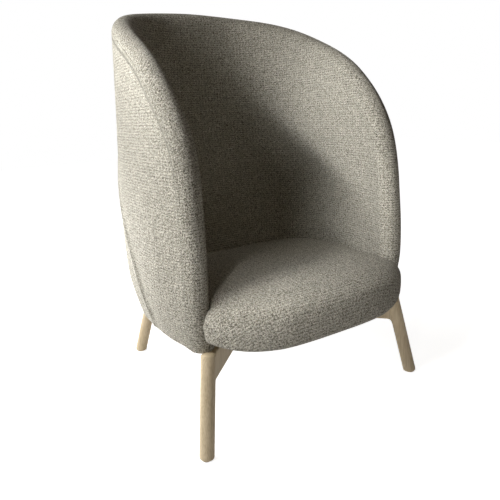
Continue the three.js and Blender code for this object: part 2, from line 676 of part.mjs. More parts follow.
// Bracket at a turn of the wall, pushed out until it stands one gap from the core, with its screws and pocket
function bracketAt(turn, shellBody) {
  const normal = outwardNormal(turn, bracketFloor);
  const out = normal.clone().setZ(0).normalize();
  const up = new THREE.Vector3(0, 0, 1);
  const frame = new THREE.Matrix4().makeBasis(out, up.clone().cross(out), up)
    .setPosition(wallAtHeight(turn, bracketFloor, 0));
  const lean = -normal.z / normal.dot(out);
  const slant = Math.hypot(1, lean);
  const upright = new THREE.Matrix4().makeShear(0, 0, 0, 0, -lean, 0);
  const stretch = placed(shellBody, frame.clone().invert())
    .intersect(blockBetween(-WALL, WALL, BRACKET_WIDTH, 0, BRACKET_LEG));
  const face = placed(stretch, upright).boundingBox().min[0] - GAP;
  const thick = BRACKET_THICKNESS * slant;
  const corner = (x, z) => [face + x + z * lean, z];
  const body = widthways([corner(-BRACKET_LEG, 0), corner(0, 0), corner(0, BRACKET_LEG),
    corner(-thick, BRACKET_LEG), corner(-thick, BRACKET_THICKNESS),
    corner(-BRACKET_LEG, BRACKET_THICKNESS)], BRACKET_WIDTH);
  const margin = 4 * GAP;
  const pocketTop = BRACKET_LEG + margin;
  const pocket = widthways([corner(-pocketTop, -NUDGE), corner(ROLL / 2, -NUDGE), corner(ROLL / 2, pocketTop),
    corner(-pocketTop / 2, pocketTop), corner(-pocketTop, pocketTop / 2)], BRACKET_WIDTH + 2 * margin);
  const stand = BRACKET_LEG * screw_on_leg_share;
  const inward = new THREE.Vector3(-1, 0, lean).normalize();
  const down = new THREE.Vector3(face - stand, 0, BRACKET_THICKNESS + GAP);
  const [seatOut, seatRise] = corner(-thick, stand);
  const aside = new THREE.Vector3(seatOut, 0, seatRise).addScaledVector(inward, GAP);
  return {
    body: placed(body, frame),
    pocket: placed(pocket, frame),
    screws: [
      { name: 'platform_screw', matrix: frame.clone().multiply(pointingAlong(up, down)) },
      { name: 'core_screw', matrix: frame.clone().multiply(pointingAlong(inward, aside)) },
    ],
  };
}

// Seat cushion: rings from the underside over the rounded edge to the crown
function cushionBody() {
  const AROUND = 60;
  const widest = cushion_ring_shares.indexOf(1);
  const positions = [];
  const topAt = (y) => {
    const share = (y - CUSHION_FRONT_Y) / OVERALL_DEPTH;
    return CUSHION_UNDERSIDE + CUSHION_FRONT_THICKNESS - CUSHION_BACK_SLOPE * share ** 2;
  };
  const frontRadius = (turn) => {
    const reach = SHELL_CENTRE_Y - CUSHION_FRONT_Y;
    return superellipse(turn, CUSHION_EAR_HALF_WIDTH, reach, CUSHION_FRONT_POWER);
  };
  const point = (turn, ring, upper) => {
    const power = upper ? CUSHION_UPPER_EDGE_POWER : CUSHION_LOWER_EDGE_POWER;
    const rise = (1 - ring ** power) ** (1 / power);
    const blend = THREE.MathUtils.smoothstep(Math.abs(turn) / degrees, ...CUSHION_EAR_TURNS);
    const rough = Math.cos(turn) * MID_HALF_WIDTH * ring + SHELL_CENTRE_Y;
    const top = topAt(rough);
    const widestHeight = CUSHION_UNDERSIDE + (top - CUSHION_UNDERSIDE) * cushion_widest_share;
    const height = upper ? widestHeight + (top - widestHeight) * rise
      : widestHeight - (widestHeight - CUSHION_UNDERSIDE) * rise;
    const inside = wallAtHeight(turn, height, -ROLL - CUSHION_CLEARANCE);
    const radius = frontRadius(turn);
    const [x, y] = [radius * Math.sin(turn), SHELL_CENTRE_Y + radius * Math.cos(turn)];
    const front = new THREE.Vector3(x, y, height);
    const edge = inside.lerp(front, blend);
    return new THREE.Vector3(edge.x * ring, SHELL_CENTRE_Y + (edge.y - SHELL_CENTRE_Y) * ring, height);
  };
  const bottomCentre = point(0, 0, false);
  positions.push(bottomCentre.x, bottomCentre.y, bottomCentre.z);
  const ringCount = cushion_ring_shares.length - 1;
  for (let i = 1; i <= ringCount; i += 1) {
    for (let j = 0; j < AROUND; j += 1) {
      const p = point(-Math.PI + (2 * Math.PI * j) / AROUND, cushion_ring_shares[i], i > widest);
      positions.push(p.x, p.y, p.z);
    }
  }
  const topCentre = point(0, 0, true);
  positions.push(topCentre.x, topCentre.y, topCentre.z);
  const index = [];
  const last = 1 + ringCount * AROUND;
  for (let j = 0; j < AROUND; j += 1) {
    const next = (j + 1) % AROUND;
    index.push(0, 1 + next, 1 + j, last, last - AROUND + j, last - AROUND + next);
    for (let i = 0; i + 1 < ringCount; i += 1) {
      const a = 1 + i * AROUND;
      index.push(a + j, a + next, a + AROUND + next, a + j, a + AROUND + next, a + AROUND + j);
    }
  }
  return closedBody(positions, index);
}

// Materials
function material(name, colour, roughness, metalness = 0) {
  const made = new THREE.MeshStandardMaterial({ color: colour, roughness, metalness });
  made.name = name;
  return made;
}

const fabric = material('woven_fabric', 0xb5ae9f, 0.95);
const wood = material('soaped_oak', 0xd2c09c, 0.6);
const plywood = material('plywood', 0xc8ad82, 0.7);
const cloth = material('black_cloth', 0x23221f, 0.95);
const webbing = material('elastic_webbing', 0x3a3630, 0.85);
const steel = material('zinc_plated_steel', 0xa9abad, 0.4, 0.9);
const glideMaterial = material('glide_plastic', 0x2a2927, 0.6);

const chair = new THREE.Group();
chair.name = 'high_back_lounge_chair';

function addPart(name, solid, surface, parent = chair) {
  const mesh = new THREE.Mesh(toGeometry(solid), surface);
  mesh.name = name;
  parent.add(mesh);
  return mesh;
}

function addGroup(name) {
  const group = new THREE.Group();
  group.name = name;
  chair.add(group);
  return group;
}

// Cross base
const base = addGroup('cross_base');
addPart('cross_rail_left', railBody(1), wood, base);
addPart('cross_rail_right', railBody(-1), wood, base);
for (const end of ['front', 'rear']) {
  const footTrim = GLIDE_HEIGHT + GAP;
  const [glideRadius, stemRadius] = [GLIDE_DIAMETER / 2, GLIDE_STEM_DIAMETER / 2];
  const stemTop = GLIDE_HEIGHT + GLIDE_STEM_HEIGHT;
  const stemHole = cylinder(stemRadius + GAP, -GLIDE_HEIGHT, stemTop + 2 * GAP, 12);
  const glide = lathe([[0, 0], [glideRadius - GLIDE_HEIGHT / 4, 0], [glideRadius, GLIDE_HEIGHT / 4],
    [glideRadius, GLIDE_HEIGHT], [stemRadius, GLIDE_HEIGHT], [stemRadius, stemTop], [0, stemTop]], 14);
  const reach = end === 'front' ? frontReach : rearReach;
  const leg = placed(legBody(end), legMatrix(end))
    .trimByPlane([0, 0, 1], footTrim)
    .subtract(tenon(end, GAP))
    .subtract(stemHole.translate([reach, 0, 0]));
  for (const side of [1, -1]) {
    const place = (end === 'front' ? -side : side) < 0 ? 'left' : 'right';
    addPart(`leg_${end}_${place}`, placed(leg, railFrame(side)), wood, base);
    const foot = placed(glide.translate([reach, 0, 0]), railFrame(side));
    addPart(`glide_${end}_${place}`, foot, glideMaterial, base);
  }
}

// Room under the shell: its foot is level under the rolls of the wings and rises a little just behind them
const wingFront = midPoint(RIM_TURNS[RIM_TURNS.length - 1] * degrees, SHELL_BOTTOM).y - ROLL;
const footLine = [new THREE.Vector2(-OVERALL_DEPTH, SHELL_BOTTOM),
  ...placesBetween(0, 1, 8).map((share) => new THREE.Vector2(wingFront + SHELL_FOOT_RISE_RUN * share,
    SHELL_BOTTOM + SHELL_FOOT_RISE * THREE.MathUtils.smoothstep(share, 0, 1))),
  new THREE.Vector2(OVERALL_DEPTH, SHELL_BOTTOM + SHELL_FOOT_RISE)];
const underShell = widthways([...footLine.map(({ x, y }) => [x, y]), [OVERALL_DEPTH, 0], [-OVERALL_DEPTH, 0]],
  2 * OVERALL_WIDTH).rotate([0, 0, 90]);
const aboveFloor = (solid) => solid.subtract(underShell);

// Shell core, and the brackets that hold it on the platform
let core = aboveFloor(sweepShell(wholePlaces, coreOutline));
const brackets = [];
for (const side of [-1, 1]) {
  BRACKET_TURNS.forEach((turn, i) => {
    const name = `${side < 0 ? 'left' : 'right'}_${i + 1}`;
    brackets.push({ name, ...bracketAt(side * turn * degrees, core) });
  });
}

// Bolts up through the rails into flanged nuts on the platform
const boltLength = PLATFORM_TOP - (recessTop - WASHER_THICKNESS - 2 * GAP - BOLT_HEAD_HEIGHT);
const [washerBore, washerRadius] = [BOLT_DIAMETER / 2 + GAP, WASHER_DIAMETER / 2];
const washer = lathe([[washerBore, 0], [washerRadius, 0], [washerRadius, WASHER_THICKNESS],
  [washerBore, WASHER_THICKNESS], [washerBore, 0]], 12);
const fixings = addGroup('fixings');
// Room taken by the core and all that lies outside it: the platform's edge is bevelled to it
const coreRoom = sweepShell(wholePlaces, (length) => [
  ...faceRows(0, length, CORE_IN - GAP, hidden_row_shares).reverse(),
  ...faceRows(0, length, WALL, hidden_row_shares),
]);
let platform = slab(platformShape(CORE_THICKNESS, 0), PLATFORM_BOTTOM, PLATFORM_TOP).subtract(coreRoom);
let dustCover = slab(platformShape(-DUST_COVER_INSET), RAIL_TOP + GAP, RAIL_TOP + GAP + DUST_COVER);
for (const side of [1, -1]) {
  for (const { name, reach } of boltSpots) {
    const place = (name === 'front' ? -side : side) < 0 ? 'left' : 'right';
    const frame = railFrame(side);
    const stand = (solid, height) => placed(solid.translate([reach, 0, height]), frame);
    const washerFloor = recessTop - GAP - WASHER_THICKNESS;
    const bolt = stand(socketBolt(boltLength), washerFloor - GAP - BOLT_HEAD_HEIGHT);
    addPart(`bolt_${name}_${place}`, bolt, steel, fixings);
    addPart(`washer_${name}_${place}`, stand(washer, washerFloor), steel, fixings);
    addPart(`flanged_nut_${name}_${place}`, stand(flangedNut(), PLATFORM_TOP + GAP), steel, fixings);
    const hole = stand(cylinder(NUT_BARREL_DIAMETER / 2 + GAP, 0, LEG_HEIGHT * 2, 12), 0);
    platform = platform.subtract(hole);
    dustCover = dustCover.subtract(hole);
  }
}

// Platform with its opening, webbing and dust cover
const [openingFront, openingRear] = boltSpots.map(({ reach }) => crossing.y + reach * railDirection.y
  - Math.sign(reach) * PLATFORM_OPENING_TO_BOLT);
const openingDepth = openingRear - openingFront;
const openingCentre = (openingRear + openingFront) / 2;
const opening = slab(roundedRectangle(PLATFORM_OPENING_WIDTH, openingDepth, PLATFORM_OPENING_CORNER,
  openingCentre), 0, PLATFORM_TOP * 2);
platform = platform.subtract(opening);
const screwHole = cylinder(SCREW_DIAMETER / 2 + GAP, -SCREW_LENGTH - GAP, SCREW_HEAD, 10);
for (const { screws } of brackets) {
  platform = platform.subtract(placed(screwHole, screws[0].matrix));
}
addPart('seat_platform', platform, plywood);
addPart('dust_cover', dustCover, cloth);
const webbingLength = PLATFORM_OPENING_WIDTH + 2 * WEBBING_LAP;
const webbingPitch = (openingDepth - WEBBING_WIDTH) / 2 - WEBBING_SIDE_GAP;
for (const [i, step] of [-1, 0, 1].entries()) {
  const [end, floor] = [webbingLength / 2, PLATFORM_TOP + GAP];
  const strap = blockBetween(-end, end, WEBBING_WIDTH, floor, WEBBING_TOP);
  addPart(`webbing_${i + 1}`, strap.translate([0, openingCentre + step * webbingPitch, 0]), webbing);
}

// Shell: moulded core, inner upholstery with the rim roll, three outer panels
const shell = addGroup('shell');
let inside = aboveFloor(sweepShell(wholePlaces, (length) => insideOutline(length)));
inside = inside.subtract(slab(platformShape(CORE_THICKNESS * 1.5), 0, PLATFORM_TOP + GAP));
const frontLegRoom = [-1, 1].map((side) => {
  const room = cylinder(legRadius + 2 * GAP, 0, (LEG_HEIGHT + FRONT_LEG_RISE + GAP) / Math.cos(FRONT_SPLAY));
  return placed(placed(room, legMatrix('front')), railFrame(side));
});
for (const room of frontLegRoom) inside = inside.subtract(room);
for (const { name, body, pocket, screws } of brackets) {
  let bracket = body;
  for (const { name: screwName, matrix } of screws) {
    bracket = bracket.subtract(placed(screwHole, matrix));
    addPart(`${screwName}_${name}`, placed(screwBody(), matrix), steel, fixings);
  }
  addPart(`bracket_${name}`, bracket, steel, fixings);
  core = core.subtract(placed(screwHole, screws[1].matrix));
  inside = inside.subtract(pocket);
}
addPart('shell_core', core, plywood, shell);
addPart('inside_upholstery', inside, fabric, shell);

// Outer panels: their edges are softened along the seams they share
const seamShift = GAP / MID_HALF_WIDTH;
function sidePanel(side) {
  const places = sidePlaces.map((place) => side * place);
  const drop = (i) => (i === 0 ? SEAM_SOFTENING : 0);
  return aboveFloor(sweepShell(places, (length, i) => panelOutline(length, drop(i)), () => seamShift));
}

function backPanel() {
  const places = mirrored(backPlaces);
  const drop = (i) => (i === 0 || i === places.length - 1 ? SEAM_SOFTENING : 0);
  return aboveFloor(sweepShell(places, (length, i) => panelOutline(length, drop(i)), () => -seamShift));
}

addPart('outside_left_panel', sidePanel(-1), fabric, shell);
addPart('outside_right_panel', sidePanel(1), fabric, shell);
addPart('outside_back_panel', backPanel(), fabric, shell);

// Cushion, cut clear of the wings' rolls and of the platform it stands on
const wingClearance = sweepShell(wholePlaces, (length) => [
  ...faceRows(0, length, -ROLL - CUSHION_WING_CLEARANCE, face_row_shares).reverse().slice(0, -1),
  ...rollArc(ROLL + CUSHION_WING_CLEARANCE, 180, 0, ROLL_STEPS),
  ...faceRows(0, length, ROLL + CUSHION_WING_CLEARANCE, hidden_row_shares).slice(1),
]);
const platformClearance = slab(platformShape(1.5 * CORE_THICKNESS, CUSHION_CLEARANCE), 0,
  WEBBING_TOP + NUT_FLANGE + GAP);
let cushion = cushionBody().subtract(wingClearance).subtract(platformClearance);
for (const room of frontLegRoom) cushion = cushion.subtract(room);
addPart('seat_cushion', cushion, fabric);

export default chair;
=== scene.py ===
import math

import bmesh
import bpy
import numpy as np
from mathutils import Matrix, Vector


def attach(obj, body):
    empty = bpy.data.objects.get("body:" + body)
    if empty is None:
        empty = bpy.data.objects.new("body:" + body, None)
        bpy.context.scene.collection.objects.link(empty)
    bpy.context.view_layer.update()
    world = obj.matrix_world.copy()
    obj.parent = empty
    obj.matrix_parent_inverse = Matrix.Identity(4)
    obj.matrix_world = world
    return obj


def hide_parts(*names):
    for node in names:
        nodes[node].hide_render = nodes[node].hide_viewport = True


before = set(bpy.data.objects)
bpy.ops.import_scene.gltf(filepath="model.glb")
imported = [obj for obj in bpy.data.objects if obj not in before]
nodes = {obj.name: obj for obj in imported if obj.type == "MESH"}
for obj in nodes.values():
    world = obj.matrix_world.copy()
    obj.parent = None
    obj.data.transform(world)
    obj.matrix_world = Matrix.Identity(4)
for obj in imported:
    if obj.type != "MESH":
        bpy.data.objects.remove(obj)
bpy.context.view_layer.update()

# Sizes of the chair, in metres, as in the part
WIDTH, DEPTH, HEIGHT = 0.82, 0.855, 1.197
WALL = 0.070
ROLL = WALL / 2
OUTER_PANEL = 0.008
SHELL_BOTTOM = 0.2576
FOOT_RISE, FOOT_RISE_RUN = 0.011, 0.060
CUSHION_BOTTOM = 0.2579
CENTRE_Y = -0.038 * DEPTH
# Reaches of the wall's middle, where it is widest and deepest
MID_HALF_WIDTH = (WIDTH - WALL) / 2
MID_BACK_REACH = DEPTH / 2 - WALL / 2 - CENTRE_Y
MID_FRONT_REACH = 0.482 * DEPTH
RIM_TOP = HEIGHT - WALL / 2
PLAN_POWER = 2.7
# How wide and how deep the plan is at each level
LEVELS = np.array([0.2046, 0.3467, 0.5138, 0.706, 0.982]) * HEIGHT
HALF_WIDTHS = np.array([0.9237, 1, 0.971, 0.913, 0.857]) * MID_HALF_WIDTH
BACK_REACHES = np.array([0.554, 0.738, 0.912, 1, 0.971]) * MID_BACK_REACH
# Knots of the rim and of the seam behind each wing: degrees round from the back, and shares of RIM_TOP
RIM_TURNS = [0, 34.3, 68.3, 100.4, 120, 124.5, 124, 123.6]
RIM_HEIGHTS = [1, 0.9777, 0.9071, 0.8154, 0.6819, 0.4826, 0.2583, 0.1969]
SEAM_TURNS = [95, 96.5, 86.5, 67, 47, 30]
SEAM_HEIGHTS = [0.1969, 0.2874, 0.3961, 0.5209, 0.6698, 0.8307]
SEAM_TOP_TURN = 18
WING_FOOT_TURN = 108
# Where the seam along the roll lies, in degrees from the outer face
SEAM_ON_ROLL = 14
# Step over which slopes are measured, and rounds in which a point's height is found
NUDGE = 0.0007
HEIGHT_ROUNDS = 5


# The curved wall
def smooth_table(xs, ys):
    """Smooth curve through a table of values, level at each high or low point."""
    steps = np.diff(ys) / np.diff(xs)
    slopes = np.concatenate([[steps[0]], np.zeros(len(xs) - 2), [steps[-1]]])
    for i in range(1, len(xs) - 1):
        before, after = steps[i - 1], steps[i]
        slopes[i] = 0 if before * after <= 0 else 2 * before * after / (before + after)

    def at(x):
        i = np.clip(np.searchsorted(xs, x) - 1, 0, len(xs) - 2)
        run = xs[i + 1] - xs[i]
        t = (x - xs[i]) / run
        curved = ((2 * t**3 - 3 * t**2 + 1) * ys[i] + (t**3 - 2 * t**2 + t) * run * slopes[i]
                  + (3 * t**2 - 2 * t**3) * ys[i + 1] + (t**3 - t**2) * run * slopes[i + 1])
        return np.where(x <= xs[0], ys[0] + slopes[0] * (x - xs[0]), curved)
    return at


half_width_at = smooth_table(LEVELS, HALF_WIDTHS)
back_reach_at = smooth_table(LEVELS, BACK_REACHES)


def squared_ellipse(turn, half_width, reach, power):
    across, along = np.abs(np.sin(turn) / half_width), np.abs(np.cos(turn) / reach)
    return (across**power + along**power) ** (-1 / power)


def mid_point(turn, height):
    turn, height = np.broadcast_arrays(turn, height)
    reach = np.where(np.cos(turn) > 0, back_reach_at(height), MID_FRONT_REACH)
    radius = squared_ellipse(turn, half_width_at(height), reach, PLAN_POWER)
    return np.stack([radius * np.sin(turn), CENTRE_Y + radius * np.cos(turn), height], -1)


def unit(v):
    return v / np.linalg.norm(v, axis=-1, keepdims=True)


def outward(turn, height):
    step = NUDGE / MID_HALF_WIDTH
    around = mid_point(turn + step, height) - mid_point(turn - step, height)
    upward = mid_point(turn, height + NUDGE) - mid_point(turn, height - NUDGE)
    return unit(np.cross(upward, around))


def wall_point(turn, height, out):
    return mid_point(turn, height) + outward(turn, height) * np.asarray(out)[..., None]


def wall_at_height(turn, height, out):
    """Point that lies out from the wall's middle and ends up at a given height."""
    start = np.array(height, float)
    for _ in range(HEIGHT_ROUNDS):
        start = height - out * outward(turn, start)[..., 2]
    return wall_point(turn, start, out)


def centripetal(knots, t):
    """Points of a centripetal spline through knots; t from 0 to 1 counts knots evenly."""
    knots = np.array(knots, float)
    p = (len(knots) - 1) * np.clip(t, 0, 1)
    i = np.minimum(np.floor(p).astype(int), len(knots) - 2)
    w = (p - i)[..., None]
    ends = np.vstack([2 * knots[0] - knots[1], knots, 2 * knots[-1] - knots[-2]])
    p0, p1, p2, p3 = ends[i], ends[i + 1], ends[i + 2], ends[i + 3]
    gaps = [np.sqrt(np.linalg.norm(b - a, axis=-1, keepdims=True))
            for a, b in ((p0, p1), (p1, p2), (p2, p3))]
    start = ((p1 - p0) / gaps[0] - (p2 - p0) / (gaps[0] + gaps[1]) + (p2 - p1) / gaps[1]) * gaps[1]
    stop = ((p2 - p1) / gaps[1] - (p3 - p1) / (gaps[1] + gaps[2]) + (p3 - p2) / gaps[2]) * gaps[1]
    return (p1 + start * w + (-3 * p1 + 3 * p2 - 2 * start - stop) * w**2
            + (2 * p1 - 2 * p2 + start + stop) * w**3)


def knots_of(turns, heights):
    return [(math.radians(a) * MID_HALF_WIDTH, h * RIM_TOP) for a, h in zip(turns, heights)]


right_knots = knots_of(RIM_TURNS, RIM_HEIGHTS)
rim_knots = [(-x, h) for x, h in reversed(right_knots[1:])] + right_knots
rim_t = np.linspace(0, 1, 4001)
rim_line = centripetal(rim_knots, rim_t)
rim_run = np.concatenate([[0], np.cumsum(np.linalg.norm(np.diff(rim_line, axis=0), axis=1))])
rim_run /= rim_run[-1]


def rim_spot(place):
    spot = centripetal(rim_knots, np.interp((1 + np.asarray(place, float)) / 2, rim_run, rim_t))
    return spot[..., 0] / MID_HALF_WIDTH, spot[..., 1]


rim_half = np.linspace(0, 0.5, 2001)
SEAM_PLACE = float(np.interp(math.radians(SEAM_TOP_TURN), rim_spot(rim_half)[0], rim_half))
SEAM_TOP = [float(v) for v in rim_spot(SEAM_PLACE)]
seam_knots = knots_of(SEAM_TURNS, SEAM_HEIGHTS) + [(SEAM_TOP[0] * MID_HALF_WIDTH, SEAM_TOP[1])]


def seam_spot(rise):
    spot = centripetal(seam_knots, np.asarray(rise, float))
    return spot[..., 0] / MID_HALF_WIDTH, spot[..., 1]


def wall_spot(place, rise):
    """Turn and height for a place along the rim (-1 left foot, 0 top centre) and a rise (0 foot, 1 rim)."""
    place, rise = np.broadcast_arrays(np.asarray(place, float), np.asarray(rise, float))
    side, reach = np.where(place < 0, -1.0, 1.0), np.abs(place)
    seam_turn, seam_height = seam_spot(rise)
    rim_turn, rim_height = rim_spot(reach)
    back_height = seam_height + rise * (rim_height - SEAM_TOP[1])
    fan = np.clip((reach - SEAM_PLACE) / (1 - SEAM_PLACE), 0, 1)
    foot_turn, foot_height = (float(v) for v in seam_spot(0))
    fan_turn = foot_turn + (math.radians(WING_FOOT_TURN) - foot_turn) * fan
    easing = (1 - fan) ** 2
    bow_turn = seam_turn - (foot_turn + (SEAM_TOP[0] - foot_turn) * rise)
    bow_height = seam_height - (foot_height + (SEAM_TOP[1] - foot_height) * rise)
    side_turn = fan_turn + (rim_turn - fan_turn) * rise + bow_turn * easing
    side_height = foot_height + (rim_height - foot_height) * rise + bow_height * easing
    on_back = reach <= SEAM_PLACE
    turn = np.where(on_back, reach / SEAM_PLACE * seam_turn, side_turn)
    return side * turn, np.where(on_back, back_height, side_height)


class WallCut:
    """One cut through the wall at a place on the rim. Its points are given by their distance in from the rim
    and out from the middle."""
    STEPS = 80
    SIDE_STEP = 0.002

    def __init__(self, place):
        self.place = place
        self.rises = np.linspace(1, 0, self.STEPS + 1)
        points = mid_point(*wall_spot(place, self.rises))
        self.run = np.concatenate([[0], np.cumsum(np.linalg.norm(np.diff(points, axis=0), axis=1))])
        self.length = float(self.run[-1])
        turn, height = wall_spot(place, 1)
        self.rim_at, self.normal = points[0], outward(turn, height)
        before, after = (mid_point(*rim_spot(np.clip(place + step, -1, 1)))
                         for step in (-self.SIDE_STEP, self.SIDE_STEP))
        edgeward = unit(np.cross(unit(after - before), self.normal))
        self.edgeward = edgeward if edgeward @ (points[0] - points[1]) > 0 else -edgeward

    def at(self, inward, out):
        rise = np.interp(inward, self.run, self.rises)
        points = wall_point(*wall_spot(self.place, rise), out)
        beyond = (self.rim_at - self.edgeward * np.asarray(inward)[..., None]
                  + self.normal * np.asarray(out)[..., None])
        return np.where((inward <= 0)[..., None], beyond, points)


# Distance round the wall at mid height, which the weave's columns follow
SECTION_HEIGHT = 0.7
turn_table = np.radians(np.linspace(-150, 150, 3001))
section = wall_at_height(turn_table, np.full_like(turn_table, SECTION_HEIGHT), 0.0)
section_run = np.concatenate([[0], np.cumsum(np.linalg.norm(np.diff(section, axis=0), axis=1))])
section_run -= np.interp(0, turn_table, section_run)


def round_the_wall(points):
    turn = np.arctan2(points[..., 0], points[..., 1] - CENTRE_Y)
    return np.interp(turn, turn_table, section_run)


# Meshes
def make_mesh(name, points, faces, attributes=None):
    """New object from points and faces, with vectors kept on its points."""
    mesh = bpy.data.meshes.new(name)
    mesh.from_pydata([tuple(p) for p in points], [], faces)
    mesh.update()
    for attribute, vectors in (attributes or {}).items():
        store_vectors(mesh, attribute, vectors)
    piece = bpy.data.objects.new(name, mesh)
    bpy.context.scene.collection.objects.link(piece)
    mesh.shade_smooth()
    return piece


def face_outwards(piece):
    bm = bmesh.new()
    bm.from_mesh(piece.data)
    bmesh.ops.recalc_face_normals(bm, faces=bm.faces)
    bm.to_mesh(piece.data)
    bm.free()
    return piece


def store_vectors(mesh, name, vectors):
    vectors = np.asarray(vectors, np.float32)
    if vectors.shape[1] == 2:
        vectors = np.hstack([vectors, np.zeros((len(vectors), 1), np.float32)])
    mesh.attributes.new(name, "FLOAT_VECTOR", "POINT").data.foreach_set("vector", vectors.ravel())


def read_vectors(mesh, name):
    values = np.zeros(len(mesh.vertices) * 3, np.float32)
    mesh.attributes[name].data.foreach_get("vector", values)
    return values.reshape(-1, 3)


def read_points(mesh):
    points = np.zeros(len(mesh.vertices) * 3, np.float32)
    mesh.vertices.foreach_get("co", points)
    return points.reshape(-1, 3).astype(float)


def write_points(mesh, points):
    mesh.vertices.foreach_set("co", np.asarray(points, np.float32).ravel())
    mesh.update()


def tube_faces(loops, count):
    """Faces of a closed body swept through loops of points, its ends filled."""
    faces = []
    for i in range(loops - 1):
        for j in range(count):
            a, b = i * count + j, i * count + (j + 1) % count
            faces.append((a, b, b + count, a + count))
    last = (loops - 1) * count
    return faces + [tuple(range(count - 1, -1, -1)), tuple(range(last, last + count))]


# The foot of the shell, and the cuts of its rounded edge in shares of its radius
FOOT_CUTS = (1.0, 0.72, 0.48, 0.28, 0.12, 0.03, 0.0)
CUT_MARGIN = 1e-6
WING_FRONT = float(mid_point(math.radians(RIM_TURNS[-1]), SHELL_BOTTOM)[1]) - ROLL


def smooth_share(share):
    share = np.clip(share, 0, 1)
    return share**2 * (3 - 2 * share)


def foot_height(y):
    """Height of the shell's lower edge: level under the rolls of the wings, a little higher behind them."""
    return SHELL_BOTTOM + FOOT_RISE * smooth_share((y - WING_FRONT) / FOOT_RISE_RUN)


def cut_at_foot(piece, radius, depth):
    """Cuts a cover off at the shell's foot and rounds its lower edge. "reach" holds each point's way out
    from the middle of the cover's padding, whose depth there is given."""
    mesh = piece.data
    points = read_points(mesh)
    points[:, 2] -= foot_height(points[:, 1])
    write_points(mesh, points)
    bm = bmesh.new()
    bm.from_mesh(mesh)
    for share in FOOT_CUTS:
        everything = bm.verts[:] + bm.edges[:] + bm.faces[:]
        cut = bmesh.ops.bisect_plane(bm, geom=everything, plane_co=(0, 0, share * radius),
                                     plane_no=(0, 0, 1), clear_inner=share == 0, dist=CUT_MARGIN)
    rim = [e for e in cut["geom_cut"] if isinstance(e, bmesh.types.BMEdge)]
    bmesh.ops.holes_fill(bm, edges=rim, sides=0)
    bmesh.ops.recalc_face_normals(bm, faces=bm.faces)
    bm.to_mesh(mesh)
    bm.free()
    points = read_points(mesh)
    below = np.clip(1 - points[:, 2] / radius, 0, 1)
    drawn_in = radius * (1 - np.sqrt(1 - below**2))
    points -= read_vectors(mesh, "reach") * (drawn_in / depth)[:, None]
    points[:, 2] += foot_height(points[:, 1])
    write_points(mesh, points)
    mesh.attributes.remove(mesh.attributes["reach"])
    mesh.shade_smooth()


def groove(distance, depth, run):
    return -depth * np.exp(-(distance / run) ** 2)


def roll_point(radius, angle):
    a = np.radians(angle)
    return np.stack([-radius * np.sin(a), radius * np.cos(a)], -1)


def face_rows(first, length, out, count):
    rows = first + (length - first) * np.linspace(0, 1, count + 1)
    return np.stack([rows, np.full_like(rows, out)], -1)


def sweep_cover(name, places, outline_at, reach_from):
    """Closed cover swept along the rim. outline_at gives (inward, out) points for a cut of the wall, and
    reach is measured from the layer that lies reach_from out from its middle."""
    loops, weaves, reaches = [], [], []
    for place in places:
        cut = WallCut(place)
        outline = outline_at(cut)
        points = cut.at(outline[:, 0], outline[:, 1])
        inward = np.maximum(outline[:, 0], 0)
        reach = points - cut.at(inward, np.full_like(inward, reach_from))
        flat = np.stack([round_the_wall(points), points[:, 2]], -1)
        # Past the rim the cloth runs on straight over the roll
        start = cut.at(np.zeros(1), np.array([-ROLL]))[0]
        further = start + cut.edgeward * ROLL / 4
        root = np.array([round_the_wall(start[None])[0], start[2]])
        ahead = np.array([round_the_wall(further[None])[0], further[2]]) - root
        ahead /= max(np.linalg.norm(ahead), NUDGE)
        run = ROLL * (math.pi - np.arctan2(-outline[:, 0], outline[:, 1]))
        flat = np.where(outline[:, :1] <= 0, root + ahead * run[:, None], flat)
        loops.append(points)
        weaves.append(flat)
        reaches.append(reach)
    vectors = {"weave": np.concatenate(weaves), "reach": np.concatenate(reaches)}
    return make_mesh(name, np.concatenate(loops), tube_faces(len(loops), len(loops[0])), vectors)


def mirrored(places):
    return np.concatenate([-places[:0:-1], places])


# Places along the rim where the covers are cut
SIDE_CUTS, BACK_CUTS = 116, 36
rim_points = mid_point(*rim_spot(np.linspace(0, 1, 800)))
RIM_LENGTH = float(np.linalg.norm(np.diff(rim_points, axis=0), axis=1).sum())
side_places = SEAM_PLACE + (1 - SEAM_PLACE) * np.linspace(0, 1, SIDE_CUTS)
back_places = SEAM_PLACE * np.linspace(0, 1, BACK_CUTS)
whole_places = mirrored(np.concatenate([back_places, side_places[1:]]))

# Layers of the wall and their sewn edges
SEAM_DIP, SEAM_DIP_RUN = 0.0004, 0.0026
PIECE_GAP = 0.0003
CORE_THICKNESS, CORE_BELOW_RIM = 0.012, 0.002
PANEL_INNER = ROLL - OUTER_PANEL
CORE_INNER = PANEL_INNER - CORE_THICKNESS
INSIDE_SPINE = -0.005
INSIDE_FOOT_RADIUS = 0.009
ROLL_POINTS, LAP_POINTS = 30, 6
INSIDE_ROWS, OUTSIDE_ROWS, HIDDEN_ROWS = 76, 72, 40


def inside_outline(cut):
    """Inner face from the foot up, over the roll to its seam, and back down the hidden side."""
    hook = SEAM_ON_ROLL + math.degrees(2 * PIECE_GAP / ROLL)
    angle = np.linspace(180, hook, ROLL_POINTS)
    dip = groove(np.radians(angle - hook) * ROLL, SEAM_DIP, SEAM_DIP_RUN)
    arc = roll_point(ROLL, angle) * ((ROLL + dip) / ROLL)[:, None]
    core_out, core_in = PANEL_INNER - PIECE_GAP, CORE_INNER - 2 * PIECE_GAP
    edge = CORE_BELOW_RIM - PIECE_GAP
    hidden = [roll_point(core_out, hook)[None], np.array([[edge, core_out], [edge, core_in]]),
              face_rows(edge, cut.length, core_in, HIDDEN_ROWS)[1:]]
    face = face_rows(0, cut.length, -ROLL, INSIDE_ROWS)[::-1][:-1]
    return np.concatenate([face, arc, *hidden])


